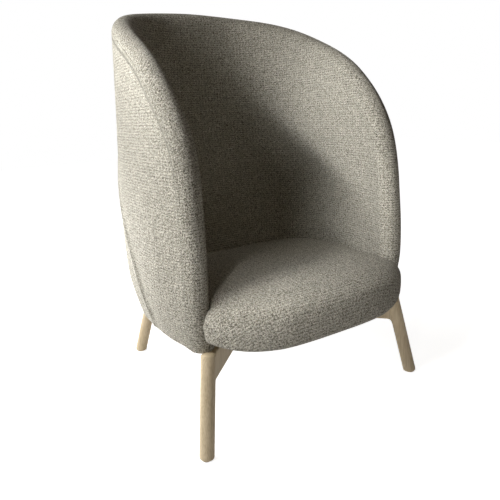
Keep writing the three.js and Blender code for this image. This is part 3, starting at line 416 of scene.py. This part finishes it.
def panel_outline(cut):
    """Outer face from the foot up, over the rim to the seam on the roll, and back down the hidden side."""
    rows = face_rows(0, cut.length, ROLL, OUTSIDE_ROWS)[::-1]
    angle = np.linspace(0, SEAM_ON_ROLL, LAP_POINTS + 1)[1:]
    dip = groove(np.radians(SEAM_ON_ROLL - angle) * ROLL, SEAM_DIP, SEAM_DIP_RUN)
    arc = roll_point(ROLL, angle) * ((ROLL + dip) / ROLL)[:, None]
    rows[:, 1] += seam_relief(cut, rows[:, 0])
    arc[:, 1] += seam_relief(cut, np.zeros(1))[0]
    hidden = face_rows(0, cut.length, PANEL_INNER, HIDDEN_ROWS)[1:]
    return np.concatenate([rows, arc, roll_point(PANEL_INNER, [SEAM_ON_ROLL, 0]), hidden])


# The seam between side and back, and how far from the foot and the rim it fades, in shares of its rise
CREST, CREST_POWER = 0.0050, 1.6
BACK_CREST_RUN, SIDE_CREST_RUN = 0.040, 0.018
CREASE_DEPTH, CREASE_RUN = 0.0014, 0.0018
FADE_AT_FOOT, FADE_AT_RIM = 0.12, 0.14
CLOSE_CUTS = np.array([0.0008, 0.0016, 0.0028, 0.0045, 0.007, 0.011])


def seam_relief(cut, rows):
    """How far the outer cover stands out near the seam between side and back: both slope up to a sharp
    crease, the back over a broad strip, so that it turns away from the side."""
    rise = np.interp(rows, cut.run, cut.rises)
    spot = mid_point(*wall_spot(cut.place, rise))
    seam = mid_point(*wall_spot(math.copysign(SEAM_PLACE, cut.place or 1), rise))
    distance = np.linalg.norm(spot - seam, axis=-1)
    fade = np.clip(rise / FADE_AT_FOOT, 0, 1) * np.clip((1.0 - rise) / FADE_AT_RIM, 0, 1)
    run = SIDE_CREST_RUN if abs(cut.place) > SEAM_PLACE else BACK_CREST_RUN
    ridge = CREST * np.clip(1 - distance / run, 0, 1) ** CREST_POWER
    return (ridge + groove(distance, CREASE_DEPTH, CREASE_RUN)) * fade


def near_seam(places, side):
    """Adds places close to the seam, where the cover's edge turns in."""
    return np.unique(np.concatenate([places, SEAM_PLACE + side * CLOSE_CUTS / RIM_LENGTH]))


def make_shell_covers():
    """The four sewn covers of the shell, by the node that each stands for."""
    covers = {"inside_upholstery": sweep_cover("inside_cover", whole_places, inside_outline, INSIDE_SPINE)}
    cut_at_foot(covers["inside_upholstery"], INSIDE_FOOT_RADIUS, ROLL + INSIDE_SPINE)
    hair = PIECE_GAP / RIM_LENGTH
    sides = near_seam(np.clip(side_places, SEAM_PLACE + hair, 1), 1)
    backs = near_seam(np.clip(back_places, 0, SEAM_PLACE - hair), -1)
    for node, places in (("outside_right_panel", sides), ("outside_left_panel", -sides[::-1]),
                         ("outside_back_panel", mirrored(backs))):
        cover = sweep_cover(node.replace("panel", "cover"), places, panel_outline, PANEL_INNER)
        cut_at_foot(cover, OUTER_PANEL - PIECE_GAP, OUTER_PANEL)
        covers[node] = cover
    return covers


# Seat cushion: its sizes in metres, and how square its front is in plan
EAR_HALF_WIDTH = 0.388
CUSHION_FRONT_THICKNESS = 0.167
CUSHION_BACK_SLOPE = 0.058
WIDEST_SHARE = 0.47
FRONT_POWER = 3.2
# Turns between which the cushion leaves the wall for its own front, over the ears
EAR_TURNS = (118, 130)
# How square the edges are, against the wall, at the ears and across the front
EDGE_TURNS = (0, 108, 130, 156, 180)
UPPER_EDGES, LOWER_EDGES = (4.4, 4.4, 3.4, 3.4, 3.4), (4.0, 4.0, 3.4, 7.5, 7.5)
CUSHION_TO_WALL = 0.0070
RING_POINTS, LOWER_RINGS, UPPER_RINGS = 240, 26, 26
RING_MARGIN, LOWER_SPREAD, UPPER_SPREAD = 0.04, 0.8, 1.2
# The legs and rolls that the cushion is cut clear of
FRONT_FOOT, REAR_FOOT = (0.3775, -0.345), (0.322, 0.3395)
FRONT_SPLAY = math.radians(14)
LEG_RADIUS, FRONT_LEG_TOP = 0.01975, 0.270
ROLL_CLEARANCE, LEG_CLEARANCE = 0.0016, 0.0012
CHANNEL_FROM, CHANNEL_STEPS, CHANNEL_DROP = 0.55, 60, 0.02
POCKET_FROM, TUBE_SIDES = 0.5, 28
# Faces of the skin, and how it settles
SKIN_VOXEL, SKIN_RELAXED = 0.006, 5
SWELL, DRAWN_IN, RESTING_DEPTH = 0.004, 0.002, 0.004
PRESSURE, SETTLING_STEPS = 4.0, 20
# Angle on the skin where the weave folds over from the top to the front, and the share of the way there
# inside which it always lies flat
FOLD_ANGLE, FLAT_SHARE = 40.0, 0.8


def cushion_point(turn, angle):
    """Point of the cushion's skin: turn round it, and angle from its widest line, 90 at the top centre."""
    upper, lower = (np.interp(np.abs(np.degrees(turn)), EDGE_TURNS, edges)
                    for edges in (UPPER_EDGES, LOWER_EDGES))
    power = np.where(angle > 0, upper, lower)
    c, s = np.abs(np.cos(np.radians(angle))), np.abs(np.sin(np.radians(angle)))
    ring, rise = c ** (2 / power), s ** (2 / power)
    blend = smooth_share((np.abs(np.degrees(turn)) - EAR_TURNS[0]) / (EAR_TURNS[1] - EAR_TURNS[0]))
    rough = np.cos(turn) * MID_HALF_WIDTH * ring + CENTRE_Y
    top = CUSHION_BOTTOM + CUSHION_FRONT_THICKNESS - CUSHION_BACK_SLOPE * ((rough + DEPTH / 2) / DEPTH) ** 2
    widest = CUSHION_BOTTOM + (top - CUSHION_BOTTOM) * WIDEST_SHARE
    height = np.where(angle > 0, widest + (top - widest) * rise, widest - (widest - CUSHION_BOTTOM) * rise)
    inside = wall_at_height(turn, height, np.full_like(height, -ROLL - CUSHION_TO_WALL))
    radius = squared_ellipse(turn, EAR_HALF_WIDTH, DEPTH / 2 + CENTRE_Y, FRONT_POWER)
    front = np.stack([radius * np.sin(turn), CENTRE_Y + radius * np.cos(turn), height], -1)
    edge = inside + (front - inside) * blend[..., None]
    return np.stack([edge[..., 0] * ring, CENTRE_Y + (edge[..., 1] - CENTRE_Y) * ring, height], -1)


def cushion_block():
    """Rough cushion from rings of points, from the underside up to the crown, crowded where it bends."""
    around = np.radians(np.linspace(-180, 180, RING_POINTS, endpoint=False))
    below = -90 + 90 * np.linspace(RING_MARGIN, 1, LOWER_RINGS) ** LOWER_SPREAD
    above = 90 * np.linspace(0, 1 - RING_MARGIN, UPPER_RINGS + 1)[1:] ** UPPER_SPREAD
    angles = np.concatenate([below, above])
    rings = [cushion_point(around, np.full_like(around, a)) for a in angles]
    faces = tube_faces(len(rings), RING_POINTS)
    return face_outwards(make_mesh("cushion_cover", np.concatenate(rings), faces))


def sweep_tube(name, centres, radius):
    """Round bar along a line of points, used to cut a channel."""
    ahead = unit(np.gradient(centres, axis=0))
    across = unit(np.cross(ahead, [0.0, 1.0, 0.0] if abs(ahead[0, 1]) < 0.9 else [1.0, 0.0, 0.0]))
    upward = np.cross(across, ahead)
    turn = np.linspace(0, 2 * math.pi, TUBE_SIDES, endpoint=False)[:, None, None]
    rings = centres + radius * (np.cos(turn) * across + np.sin(turn) * upward)
    points = np.swapaxes(rings, 0, 1).reshape(-1, 3)
    return face_outwards(make_mesh(name, points, tube_faces(len(centres), TUBE_SIDES)))


def make_cushion():
    """Seat cushion, cut clear of the wings' rolls and the front legs, and settled by a cloth simulation."""
    block = cushion_block()
    tools = []
    for side in (-1, 1):
        line = mid_point(*rim_spot(side * np.append(np.linspace(CHANNEL_FROM, 1, CHANNEL_STEPS), 1)))
        line[-1, 2] -= CHANNEL_DROP
        tools.append(sweep_tube("roll_channel", line, ROLL + ROLL_CLEARANCE))
        foot = np.array([side * FRONT_FOOT[0], FRONT_FOOT[1], 0.0])
        rear = np.array([-side * REAR_FOOT[0], REAR_FOOT[1], 0.0])
        lean = unit(rear - foot) * math.tan(FRONT_SPLAY) + np.array([0.0, 0.0, 1.0])
        heights = np.array([POCKET_FROM, 1.0]) * (FRONT_LEG_TOP + LEG_CLEARANCE)
        tools.append(sweep_tube("leg_pocket", foot + heights[:, None] * lean, LEG_RADIUS + LEG_CLEARANCE))
    for tool in tools:
        carve = block.modifiers.new(tool.name, "BOOLEAN")
        carve.object, carve.operation, carve.solver = tool, "DIFFERENCE", "MANIFOLD"
    remesh = block.modifiers.new("even_faces", "REMESH")
    remesh.mode, remesh.voxel_size = "VOXEL", SKIN_VOXEL
    relax = block.modifiers.new("soft_edges", "SMOOTH")
    relax.factor, relax.iterations = 0.5, SKIN_RELAXED
    apply_modifiers(block)
    for tool in tools:
        bpy.data.objects.remove(tool)
    swell(block)
    block.modifiers.new("rounded", "SUBSURF").levels = 1
    apply_modifiers(block)
    store_vectors(block.data, "weave", cushion_weave(read_points(block.data)))
    block.data.shade_smooth()
    return block


def apply_modifiers(piece):
    piece.data = bpy.data.meshes.new_from_object(piece.evaluated_get(bpy.context.evaluated_depsgraph_get()))
    piece.modifiers.clear()


def swell(pad):
    """Cloth simulation of the cushion's cover. It is blown up from a slightly smaller shape, held where it
    rests on the platform: the crown swells back to the full shape and no further, and the sides are drawn in
    a little."""
    mesh, scene = pad.data, bpy.context.scene
    full = read_points(mesh)
    resting = full[:, 2] < CUSHION_BOTTOM + RESTING_DEPTH
    normals = np.zeros(len(full) * 3, np.float32)
    mesh.vertex_normals.foreach_get("vector", normals)
    normals = normals.reshape(-1, 3) * ~resting[:, None]
    write_points(mesh, full - SWELL * normals)
    held = pad.vertex_groups.new(name="resting")
    held.add(np.flatnonzero(resting).tolist(), 1.0, "REPLACE")
    cloth = pad.modifiers.new("cover", "CLOTH").settings
    cloth.vertex_group_mass = "resting"
    cloth.use_pressure, cloth.uniform_pressure_force = True, PRESSURE
    cloth.effector_weights.gravity = 0.0
    for step in range(1, SETTLING_STEPS + 1):
        scene.frame_set(step)
    apply_modifiers(pad)
    scene.frame_set(1)
    pad.vertex_groups.clear()
    outward_move = ((read_points(pad.data) - full) * normals).sum(1)
    write_points(pad.data, full + normals * np.clip(outward_move, -DRAWN_IN, 0)[:, None])


def cushion_weave(points):
    """Place on the flat cloth: the plan on top, run on down the front and the sides by their own length."""
    x, y, z = points.T
    turn = np.arctan2(x, y - CENTRE_Y)
    rim = cushion_point(turn, np.full_like(turn, FOLD_ANGLE))
    rim_reach = np.linalg.norm(rim[:, :2] - [0, CENTRE_Y], axis=1)
    reach = np.hypot(x, y - CENTRE_Y)
    over = np.clip(reach - rim_reach, 0, None)
    drop = np.clip(rim[:, 2] - z, 0, None)
    run = np.hypot(drop, over) * (reach > rim_reach * FLAT_SHARE)
    direction = np.stack([x, y - CENTRE_Y], -1) / np.maximum(reach, NUDGE)[:, None]
    largest = np.abs(direction).max(1, keepdims=True)
    square = np.where(np.abs(direction) == largest, np.sign(direction), direction)
    plan = np.where((reach > rim_reach)[:, None], rim[:, :2], points[:, :2])
    return plan + square * run[:, None]


# Materials
def linear(code):
    """Linear colour of an sRGB hex code."""
    channels = [int(code[i:i + 2], 16) / 255 for i in (0, 2, 4)]
    return [c / 12.92 if c <= 0.04045 else ((c + 0.055) / 1.055) ** 2.4 for c in channels] + [1.0]


def add(tree, kind, inputs=None, stops=(), **settings):
    """Adds a node with its settings, ramp stops and links. An input is a value, a node or (node, output)."""
    node = tree.nodes.new("ShaderNode" + kind)
    for setting, value in settings.items():
        setattr(node, setting, value)
    for i, (place, colour) in enumerate(stops):
        stop = node.color_ramp.elements[i] if i < 2 else node.color_ramp.elements.new(place)
        stop.position, stop.color = place, linear(colour)
    for socket, value in (inputs or {}).items():
        source = value if isinstance(value, tuple) else (value, 0)
        if isinstance(source[0], bpy.types.Node):
            tree.links.new(source[0].outputs[source[1]], node.inputs[socket])
        else:
            node.inputs[socket].default_value = value
    return node


def start_material(name, **values):
    """New material, with uniform values set on its shader's own sockets."""
    material = bpy.data.materials.new(name)
    material.use_nodes = True
    shader = material.node_tree.nodes["Principled BSDF"]
    for socket, value in values.items():
        shader.inputs[socket.replace("_", " ")].default_value = value
    return material, material.node_tree, shader


def finish(tree, shader, **links):
    """Links outputs of nodes to the shader's sockets."""
    for socket, (node, output) in links.items():
        tree.links.new(node.outputs[output], shader.inputs[socket.replace("_", " ")])


YARN = 0.0014
ROW_PITCH, COLUMN_PITCH = 0.0076, 0.0125
# Painted shading of the rows and columns: lighter on their crests and darker between them. Tone of the slubs
# and fuzz: partly their own, partly a painted highlight on the higher ones. The mottle is the yarn's own
# tone.
ROW_PAINTED_SHADING, COLUMN_PAINTED_SHADING, SLUB_TONE_AND_PAINTED_HIGHLIGHT, FUZZ_TONE_AND_PAINTED_HIGHLIGHT, MOTTLE_TONE = 0.075, 0.035, 0.85, 0.16, 0.08
RIB_HEIGHT, FUZZ_HEIGHT = 2.5, 0.4


def woven_cloth():
    """Coarse wool cloth woven from mottled yarn. The eye sees soft salt and pepper, each little slub lighter
    or darker than the next, laid in level rows 7.6 mm apart that are crossed by fainter columns, 12.5 mm
    apart. The tone of the slubs and the fuzz is partly the mottled yarn's own and partly a painted highlight,
    lighter where the bump raises them. The rows and columns are painted shading, lighter on their crests and
    darker between them. The slubs are drawn 1.4 mm wide, a little coarser than the real yarn, so that some
    grain is left of them from across a room."""
    material, tree, shader = start_material("woven_wool_cloth", Roughness=0.95, Sheen_Weight=0.12,
                                            Sheen_Roughness=0.6, Specular_IOR_Level=0.2)
    place = add(tree, "Attribute", attribute_name="weave")
    slub = add(tree, "TexVoronoi", {"Vector": (place, "Vector"), "Scale": 1 / YARN, "Randomness": 0.55},
               voronoi_dimensions="2D")
    chance = add(tree, "SeparateXYZ", {0: (slub, "Color")})
    waves_per_metre = (math.tau / COLUMN_PITCH, math.tau / ROW_PITCH, 1.0)
    laid = add(tree, "Mapping", {0: (place, "Vector"), "Scale": waves_per_metre})
    waves = add(tree, "VectorMath", {0: laid}, operation="SINE")
    ribs = add(tree, "SeparateXYZ", {0: waves})
    fuzz = add(tree, "TexNoise", {"Vector": (place, "Vector"), "Scale": 620.0, "Detail": 3.0})
    mottle = add(tree, "TexNoise", {"Vector": (place, "Vector"), "Scale": 60.0, "Detail": 3.0})
    # Painted light and shade: the rows, columns, slubs and fuzz that the bump raises are made lighter here,
    # and darker where the bump lowers them.
    rows = add(tree, "Math", {0: (ribs, "Y"), 1: ROW_PAINTED_SHADING}, operation="MULTIPLY")
    weft = add(tree, "Math", {0: (ribs, "X"), 1: COLUMN_PAINTED_SHADING, 2: rows}, operation="MULTIPLY_ADD")
    tone = add(tree, "Math", {0: chance, 1: SLUB_TONE_AND_PAINTED_HIGHLIGHT, 2: weft}, operation="MULTIPLY_ADD")
    tone = add(tree, "Math", {0: fuzz, 1: FUZZ_TONE_AND_PAINTED_HIGHLIGHT, 2: tone}, operation="MULTIPLY_ADD")
    tone = add(tree, "Math", {0: mottle, 1: MOTTLE_TONE, 2: tone}, operation="MULTIPLY_ADD")
    colour = add(tree, "ValToRGB", {"Fac": tone},
                 stops=((0.195, "4a453c"), (0.535, "aba698"), (0.875, "e6e3d9")))
    high = add(tree, "Math", {0: weft, 1: RIB_HEIGHT, 2: chance}, operation="MULTIPLY_ADD")
    high = add(tree, "Math", {0: fuzz, 1: FUZZ_HEIGHT, 2: high}, operation="MULTIPLY_ADD")
    weave = add(tree, "Bump", {"Height": high, "Distance": 0.0012, "Strength": 1.0})
    finish(tree, shader, Base_Color=(colour, 0), Normal=(weave, 0))
    return material


def soaped_oak():
    """Pale oak finished with soap: the eye sees straight fine grain along the leg, short darker pores and a
    soft broad figure. The grain is 2 to 3 mm wide and runs on for a few centimetres."""
    material, tree, shader = start_material("soaped_oak", Specular_IOR_Level=0.35)
    place = add(tree, "TexCoord")
    broad = add(tree, "Mapping", {0: (place, "Object"), "Scale": (1.0, 1.0, 0.07)})
    narrow = add(tree, "Mapping", {0: (place, "Object"), "Scale": (1.0, 1.0, 0.035)})
    figure = add(tree, "TexNoise", {"Vector": broad, "Scale": 55.0, "Detail": 4.0, "Distortion": 0.6})
    fine = add(tree, "TexNoise", {"Vector": narrow, "Scale": 420.0, "Detail": 3.0})
    pores = add(tree, "TexVoronoi", {"Vector": broad, "Scale": 620.0})
    ground = add(tree, "ValToRGB", {"Fac": figure},
                 stops=((0.3, "cdbb99"), (0.52, "dccaab"), (0.72, "e6d6b9")))
    streaks = add(tree, "ValToRGB", {"Fac": fine},
                  stops=((0.35, "b7a382"), (0.5, "dac9aa"), (0.7, "e9dbc3")))
    grain = add(tree, "Mix", {0: 0.45, 6: ground, 7: streaks}, data_type="RGBA")
    dark = add(tree, "MapRange", {"Value": pores, "From Max": 0.16, "To Min": 0.28, "To Max": 0.0})
    colour = add(tree, "Mix", {0: dark, 6: (grain, 2), 7: linear("8d7a5c")}, data_type="RGBA")
    rough = add(tree, "Math", {0: fine, 1: 0.16, 2: 0.48}, operation="MULTIPLY_ADD")
    relief = add(tree, "Bump", {"Height": fine, "Distance": 0.00025, "Strength": 0.35})
    finish(tree, shader, Base_Color=(colour, 2), Roughness=(rough, 0), Normal=(relief, 0))
    return material


PLY = 0.003


def birch_plywood():
    """Raw birch plywood: the eye sees a pale face with faint waves of grain, and darker glue lines 3 mm
    apart on the cut edges."""
    material, tree, shader = start_material("raw_birch_plywood", Roughness=0.7)
    place = add(tree, "TexCoord")
    along = add(tree, "Mapping", {0: (place, "Object"), "Scale": (0.08, 1.0, 1.0)})
    grain = add(tree, "TexNoise", {"Vector": along, "Scale": 140.0, "Detail": 4.0, "Distortion": 0.4})
    axes = add(tree, "SeparateXYZ", {0: (place, "Object")})
    plies = add(tree, "Math", {0: (axes, "Z"), 1: PLY}, operation="DIVIDE")
    share = add(tree, "Math", {0: plies}, operation="FRACT")
    glue = add(tree, "Math", {0: share, 1: 0.14}, operation="LESS_THAN")
    line = add(tree, "Math", {0: glue, 1: 0.35}, operation="MULTIPLY")
    face = add(tree, "ValToRGB", {"Fac": grain}, stops=((0.3, "b99a6c"), (0.7, "d6bd92")))
    colour = add(tree, "Mix", {0: line, 6: face, 7: linear("7d5f3c")}, data_type="RGBA")
    relief = add(tree, "Bump", {"Height": grain, "Distance": 0.0003, "Strength": 0.3})
    finish(tree, shader, Base_Color=(colour, 2), Normal=(relief, 0))
    return material


def spun_cloth():
    """Black spun-bonded dust cloth: the eye sees a matte skin with a fine pattern of pressed dots."""
    material, tree, shader = start_material("spun_dust_cloth", Roughness=0.95)
    place = add(tree, "TexCoord")
    dots = add(tree, "TexVoronoi", {"Vector": (place, "Object"), "Scale": 650.0, "Randomness": 0.25})
    threads = add(tree, "TexNoise", {"Vector": (place, "Object"), "Scale": 1500.0, "Detail": 2.0})
    both = add(tree, "Math", {0: dots, 1: threads}, operation="ADD")
    colour = add(tree, "ValToRGB", {"Fac": both}, stops=((0.4, "1c1b19"), (1.0, "383632")))
    relief = add(tree, "Bump", {"Height": dots, "Distance": 0.0002, "Strength": 0.5})
    finish(tree, shader, Base_Color=(colour, 0), Normal=(relief, 0))
    return material


RIB_PITCH, THREAD_PITCH = 0.0028, 0.0016


def ribbed_webbing():
    """Dark elastic seat webbing: the eye sees lengthwise ribs 2.8 mm apart, crossed by a fine weave."""
    material, tree, shader = start_material("ribbed_elastic_webbing", Roughness=0.85)
    place = add(tree, "TexCoord")
    axes = add(tree, "SeparateXYZ", {0: (place, "Object")})
    rib = add(tree, "Math", {0: (axes, "Y"), 1: math.tau / RIB_PITCH}, operation="MULTIPLY")
    ribs = add(tree, "Math", {0: rib}, operation="SINE")
    thread = add(tree, "Math", {0: (axes, "X"), 1: math.tau / THREAD_PITCH}, operation="MULTIPLY")
    threads = add(tree, "Math", {0: thread}, operation="SINE")
    both = add(tree, "Math", {0: threads, 1: 0.5, 2: ribs}, operation="MULTIPLY_ADD")
    tone = add(tree, "MapRange", {"Value": both, "From Min": -1.5, "From Max": 1.5})
    colour = add(tree, "ValToRGB", {"Fac": tone}, stops=((0.2, "2b2723"), (0.9, "57504a")))
    relief = add(tree, "Bump", {"Height": both, "Distance": 0.0004, "Strength": 0.5})
    finish(tree, shader, Base_Color=(colour, 0), Normal=(relief, 0))
    return material


def zinc_plate():
    """Zinc plated steel: the eye sees satin silver with a faint bluish to straw cast and small scuffs."""
    material, tree, shader = start_material("zinc_plated_steel", Metallic=1.0)
    place = add(tree, "TexCoord")
    cast = add(tree, "TexNoise", {"Vector": (place, "Object"), "Scale": 90.0, "Detail": 3.0})
    scuff = add(tree, "TexNoise", {"Vector": (place, "Object"), "Scale": 900.0, "Detail": 2.0})
    colour = add(tree, "ValToRGB", {"Fac": cast}, stops=((0.3, "b4b8bd"), (0.7, "c6c1b2")))
    rough = add(tree, "Math", {0: scuff, 1: 0.2, 2: 0.26}, operation="MULTIPLY_ADD")
    relief = add(tree, "Bump", {"Height": scuff, "Distance": 0.0001, "Strength": 0.2})
    finish(tree, shader, Base_Color=(colour, 0), Roughness=(rough, 0), Normal=(relief, 0))
    return material


def nylon_glide():
    """Moulded nylon glide: the eye sees a dark, matte, finely grained foot, scuffed paler at the floor."""
    material, tree, shader = start_material("moulded_nylon_glide", Roughness=0.5)
    place = add(tree, "TexCoord")
    grain = add(tree, "TexNoise", {"Vector": (place, "Object"), "Scale": 1800.0, "Detail": 2.0})
    axes = add(tree, "SeparateXYZ", {0: (place, "Object")})
    worn = add(tree, "MapRange", {"Value": (axes, "Z"), "From Max": 0.002, "To Min": 0.5, "To Max": 0.0})
    base = add(tree, "ValToRGB", {"Fac": grain}, stops=((0.3, "232221"), (0.7, "302f2d")))
    colour = add(tree, "Mix", {0: worn, 6: base, 7: linear("5a5854")}, data_type="RGBA")
    relief = add(tree, "Bump", {"Height": grain, "Distance": 0.0001, "Strength": 0.4})
    finish(tree, shader, Base_Color=(colour, 2), Normal=(relief, 0))
    return material


# Dressing
def dress(piece, material):
    piece.data.materials.clear()
    piece.data.materials.append(material)


def dress_node(node, material):
    for slot in nodes[node].material_slots:
        slot.link = "OBJECT"
        slot.material = material


def stand_in(piece, node):
    """Hangs a padded piece on the root body and hides the node that it is seen in place of."""
    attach(piece, "root")
    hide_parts(node)


def dress_chair():
    cloth = woven_cloth()
    for node, cover in make_shell_covers().items():
        stand_in(cover, node)
        dress(cover, cloth)
    cushion = make_cushion()
    stand_in(cushion, "seat_cushion")
    dress(cushion, cloth)
    finishes = ((("leg_", "cross_rail_"), soaped_oak()), (("seat_platform", "shell_core"), birch_plywood()),
                (("dust_cover",), spun_cloth()), (("webbing_",), ribbed_webbing()),
                (("bolt_", "washer_", "flanged_nut_", "bracket_", "platform_screw_", "core_screw_"),
                 zinc_plate()),
                (("glide_",), nylon_glide()))
    for node in nodes:
        for starts, material in finishes:
            if node.startswith(starts):
                dress_node(node, material)


# Floor, light and camera
FLOOR_REACH = 9.0
# The floor's own glow under the chair, and the distances between which it grows to white
FLOOR_GLOW, WHITE_FROM, WHITE_AT = 0.88, 0.7, 1.9
WORLD_LIGHT = 0.04


def seen_directly(tree):
    """Share of a ray that reaches the eye straight, or off a gloss or through glass."""
    path = add(tree, "LightPath")
    either = add(tree, "Math", {0: (path, "Is Camera Ray"), 1: (path, "Is Glossy Ray")},
                 operation="MAXIMUM")
    return add(tree, "Math", {0: either, 1: (path, "Is Transmission Ray")}, operation="MAXIMUM")


def make_floor():
    """Pale floor: it keeps a soft shadow of the chair, and turns pure white a step away from it."""
    r = FLOOR_REACH
    floor = make_mesh("studio_floor", [(-r, -r, 0), (r, -r, 0), (r, r, 0), (-r, r, 0)], [(0, 1, 2, 3)])
    material, tree, shader = start_material("pale_studio_floor", Base_Color=(0.8, 0.8, 0.8, 1),
                                            Roughness=1.0, Specular_IOR_Level=0.0,
                                            Emission_Color=(1, 1, 1, 1))
    place = add(tree, "TexCoord")
    away = add(tree, "VectorMath", {0: (place, "Object")}, operation="LENGTH")
    glow = add(tree, "MapRange", {"Value": (away, "Value"), "From Min": WHITE_FROM, "From Max": WHITE_AT,
                                  "To Min": FLOOR_GLOW, "To Max": 1.0})
    strength = add(tree, "Math", {0: seen_directly(tree), 1: glow}, operation="MULTIPLY")
    finish(tree, shader, Emission_Strength=(strength, 0))
    dress(floor, material)


def make_world():
    """White behind the chair; a faint even light on it."""
    world = bpy.data.worlds.new("studio")
    bpy.context.scene.world = world
    world.use_nodes = True
    tree = world.node_tree
    tree.nodes.clear()
    white = add(tree, "Background", {"Color": (1.0, 1.0, 1.0, 1.0), "Strength": 1.0})
    soft = add(tree, "Background", {"Color": linear("efc798"), "Strength": WORLD_LIGHT})
    blend = add(tree, "MixShader", {0: seen_directly(tree), 1: soft, 2: white})
    add(tree, "OutputWorld", {"Surface": blend})


LAMP_DISTANCE = 3.0
CHAIR_MIDDLE = Vector((0, 0, 0.65))
DAYLIGHT = "fffefa"
BEAM_SOFTNESS = 0.15
# Name, azimuth, elevation, half width and half height in degrees, and radiance
WINDOWS = (("window_left", 190, 20, 12, 10, 6.6),
           ("window_high_left", 175, 36, 12, 10, 8.8),
           ("window_low_behind", 123, 8, 14, 10, 14.0))
# Name, target, reach, azimuth, elevation and level
BEAMS = (("beam_on_right_wing", (0.33, -0.05, 0.80), 0.36, 181, 28, 0.74),
         ("beam_on_right_foot", (0.34, -0.18, 0.50), 0.26, 215, 20, 0.58),
         ("beam_on_back_strip", (-0.31, 0.14, 0.47), 0.25, 104, 6, 2.2),
         ("beam_on_seat", (0.16, -0.22, 0.44), 0.32, 182, 42, 0.27),
         ("beam_on_cushion_front", (-0.12, -0.38, 0.38), 0.20, 190, 35, 0.44),
         ("beam_past_the_roll", (-0.17, -0.36, 0.42), 0.18, 222, 38, 0.74),
         ("beam_on_right_leg", (0.34, -0.37, 0.20), 0.17, 214, 12, 0.30))


def place_lamp(name, data, target, azimuth, elevation):
    """Puts a lamp up, aimed at a target; azimuth 0 lies along +X and 90 along +Y, in degrees."""
    lamp = bpy.data.objects.new(name, data)
    bpy.context.scene.collection.objects.link(lamp)
    turn, rise = math.radians(azimuth), math.radians(elevation)
    away = Vector((math.cos(turn) * math.cos(rise), math.sin(turn) * math.cos(rise), math.sin(rise)))
    lamp.location = target + away * LAMP_DISTANCE
    lamp.rotation_mode = "QUATERNION"
    lamp.rotation_quaternion = (-away).to_track_quat("-Z", "Y")


def make_window(name, azimuth, elevation, half_wide, half_high, radiance):
    """Soft window, sized in degrees as seen from the chair."""
    data = bpy.data.lights.new(name, "AREA")
    data.shape = "RECTANGLE"
    data.size, data.size_y = (2 * LAMP_DISTANCE * math.tan(math.radians(a)) for a in (half_wide, half_high))
    data.energy = radiance * math.pi * data.size * data.size_y
    data.color = linear(DAYLIGHT)[:3]
    place_lamp(name, data, CHAIR_MIDDLE, azimuth, elevation)


def make_beam(name, target, reach, azimuth, elevation, level):
    """Soft beam that lights only the part of the chair within reach of its target; at level 1 a face turned
    towards it renders at its own colour."""
    data = bpy.data.lights.new(name, "SPOT")
    data.spot_size, data.spot_blend = 2 * math.atan(reach / LAMP_DISTANCE), 1.0
    data.shadow_soft_size = BEAM_SOFTNESS
    data.energy = level * (2 * math.pi * LAMP_DISTANCE) ** 2
    data.color = linear(DAYLIGHT)[:3]
    place_lamp(name, data, Vector(target), azimuth, elevation)


# The view that was fitted to the photograph, in metres and radians
EYE = (-0.7817, -1.3017, 0.853)
YAW, PITCH, ROLL_OF_VIEW = 0.528, 0.279, -0.048
FOCAL_SHARE, SENSOR_WIDTH = 475.2 / 500, 36
VIEW_SHIFT = (0.003, -0.002)


def make_camera():
    """The photograph's view: from the front left, a little above, rolled slightly."""
    yaw, pitch, roll = YAW, PITCH, ROLL_OF_VIEW
    ahead = Vector((math.sin(yaw) * math.cos(pitch), math.cos(yaw) * math.cos(pitch), -math.sin(pitch)))
    across = Vector((math.cos(yaw), -math.sin(yaw), 0))
    up = across.cross(ahead)
    image_x = math.cos(roll) * across + math.sin(roll) * up
    image_y = -math.sin(roll) * across + math.cos(roll) * up
    data = bpy.data.cameras.new("photo_camera")
    data.sensor_width = SENSOR_WIDTH
    data.lens = FOCAL_SHARE * SENSOR_WIDTH
    data.shift_x, data.shift_y = VIEW_SHIFT
    camera = bpy.data.objects.new("photo_camera", data)
    bpy.context.scene.collection.objects.link(camera)
    turn = Matrix((image_x, image_y, -ahead)).transposed().to_4x4()
    camera.matrix_world = Matrix.Translation(EYE) @ turn
    bpy.context.scene.camera = camera


dress_chair()
make_floor()
make_world()
for window in WINDOWS:
    make_window(*window)
for beam in BEAMS:
    make_beam(*beam)
make_camera()
bpy.context.scene.view_settings.view_transform = "Standard"
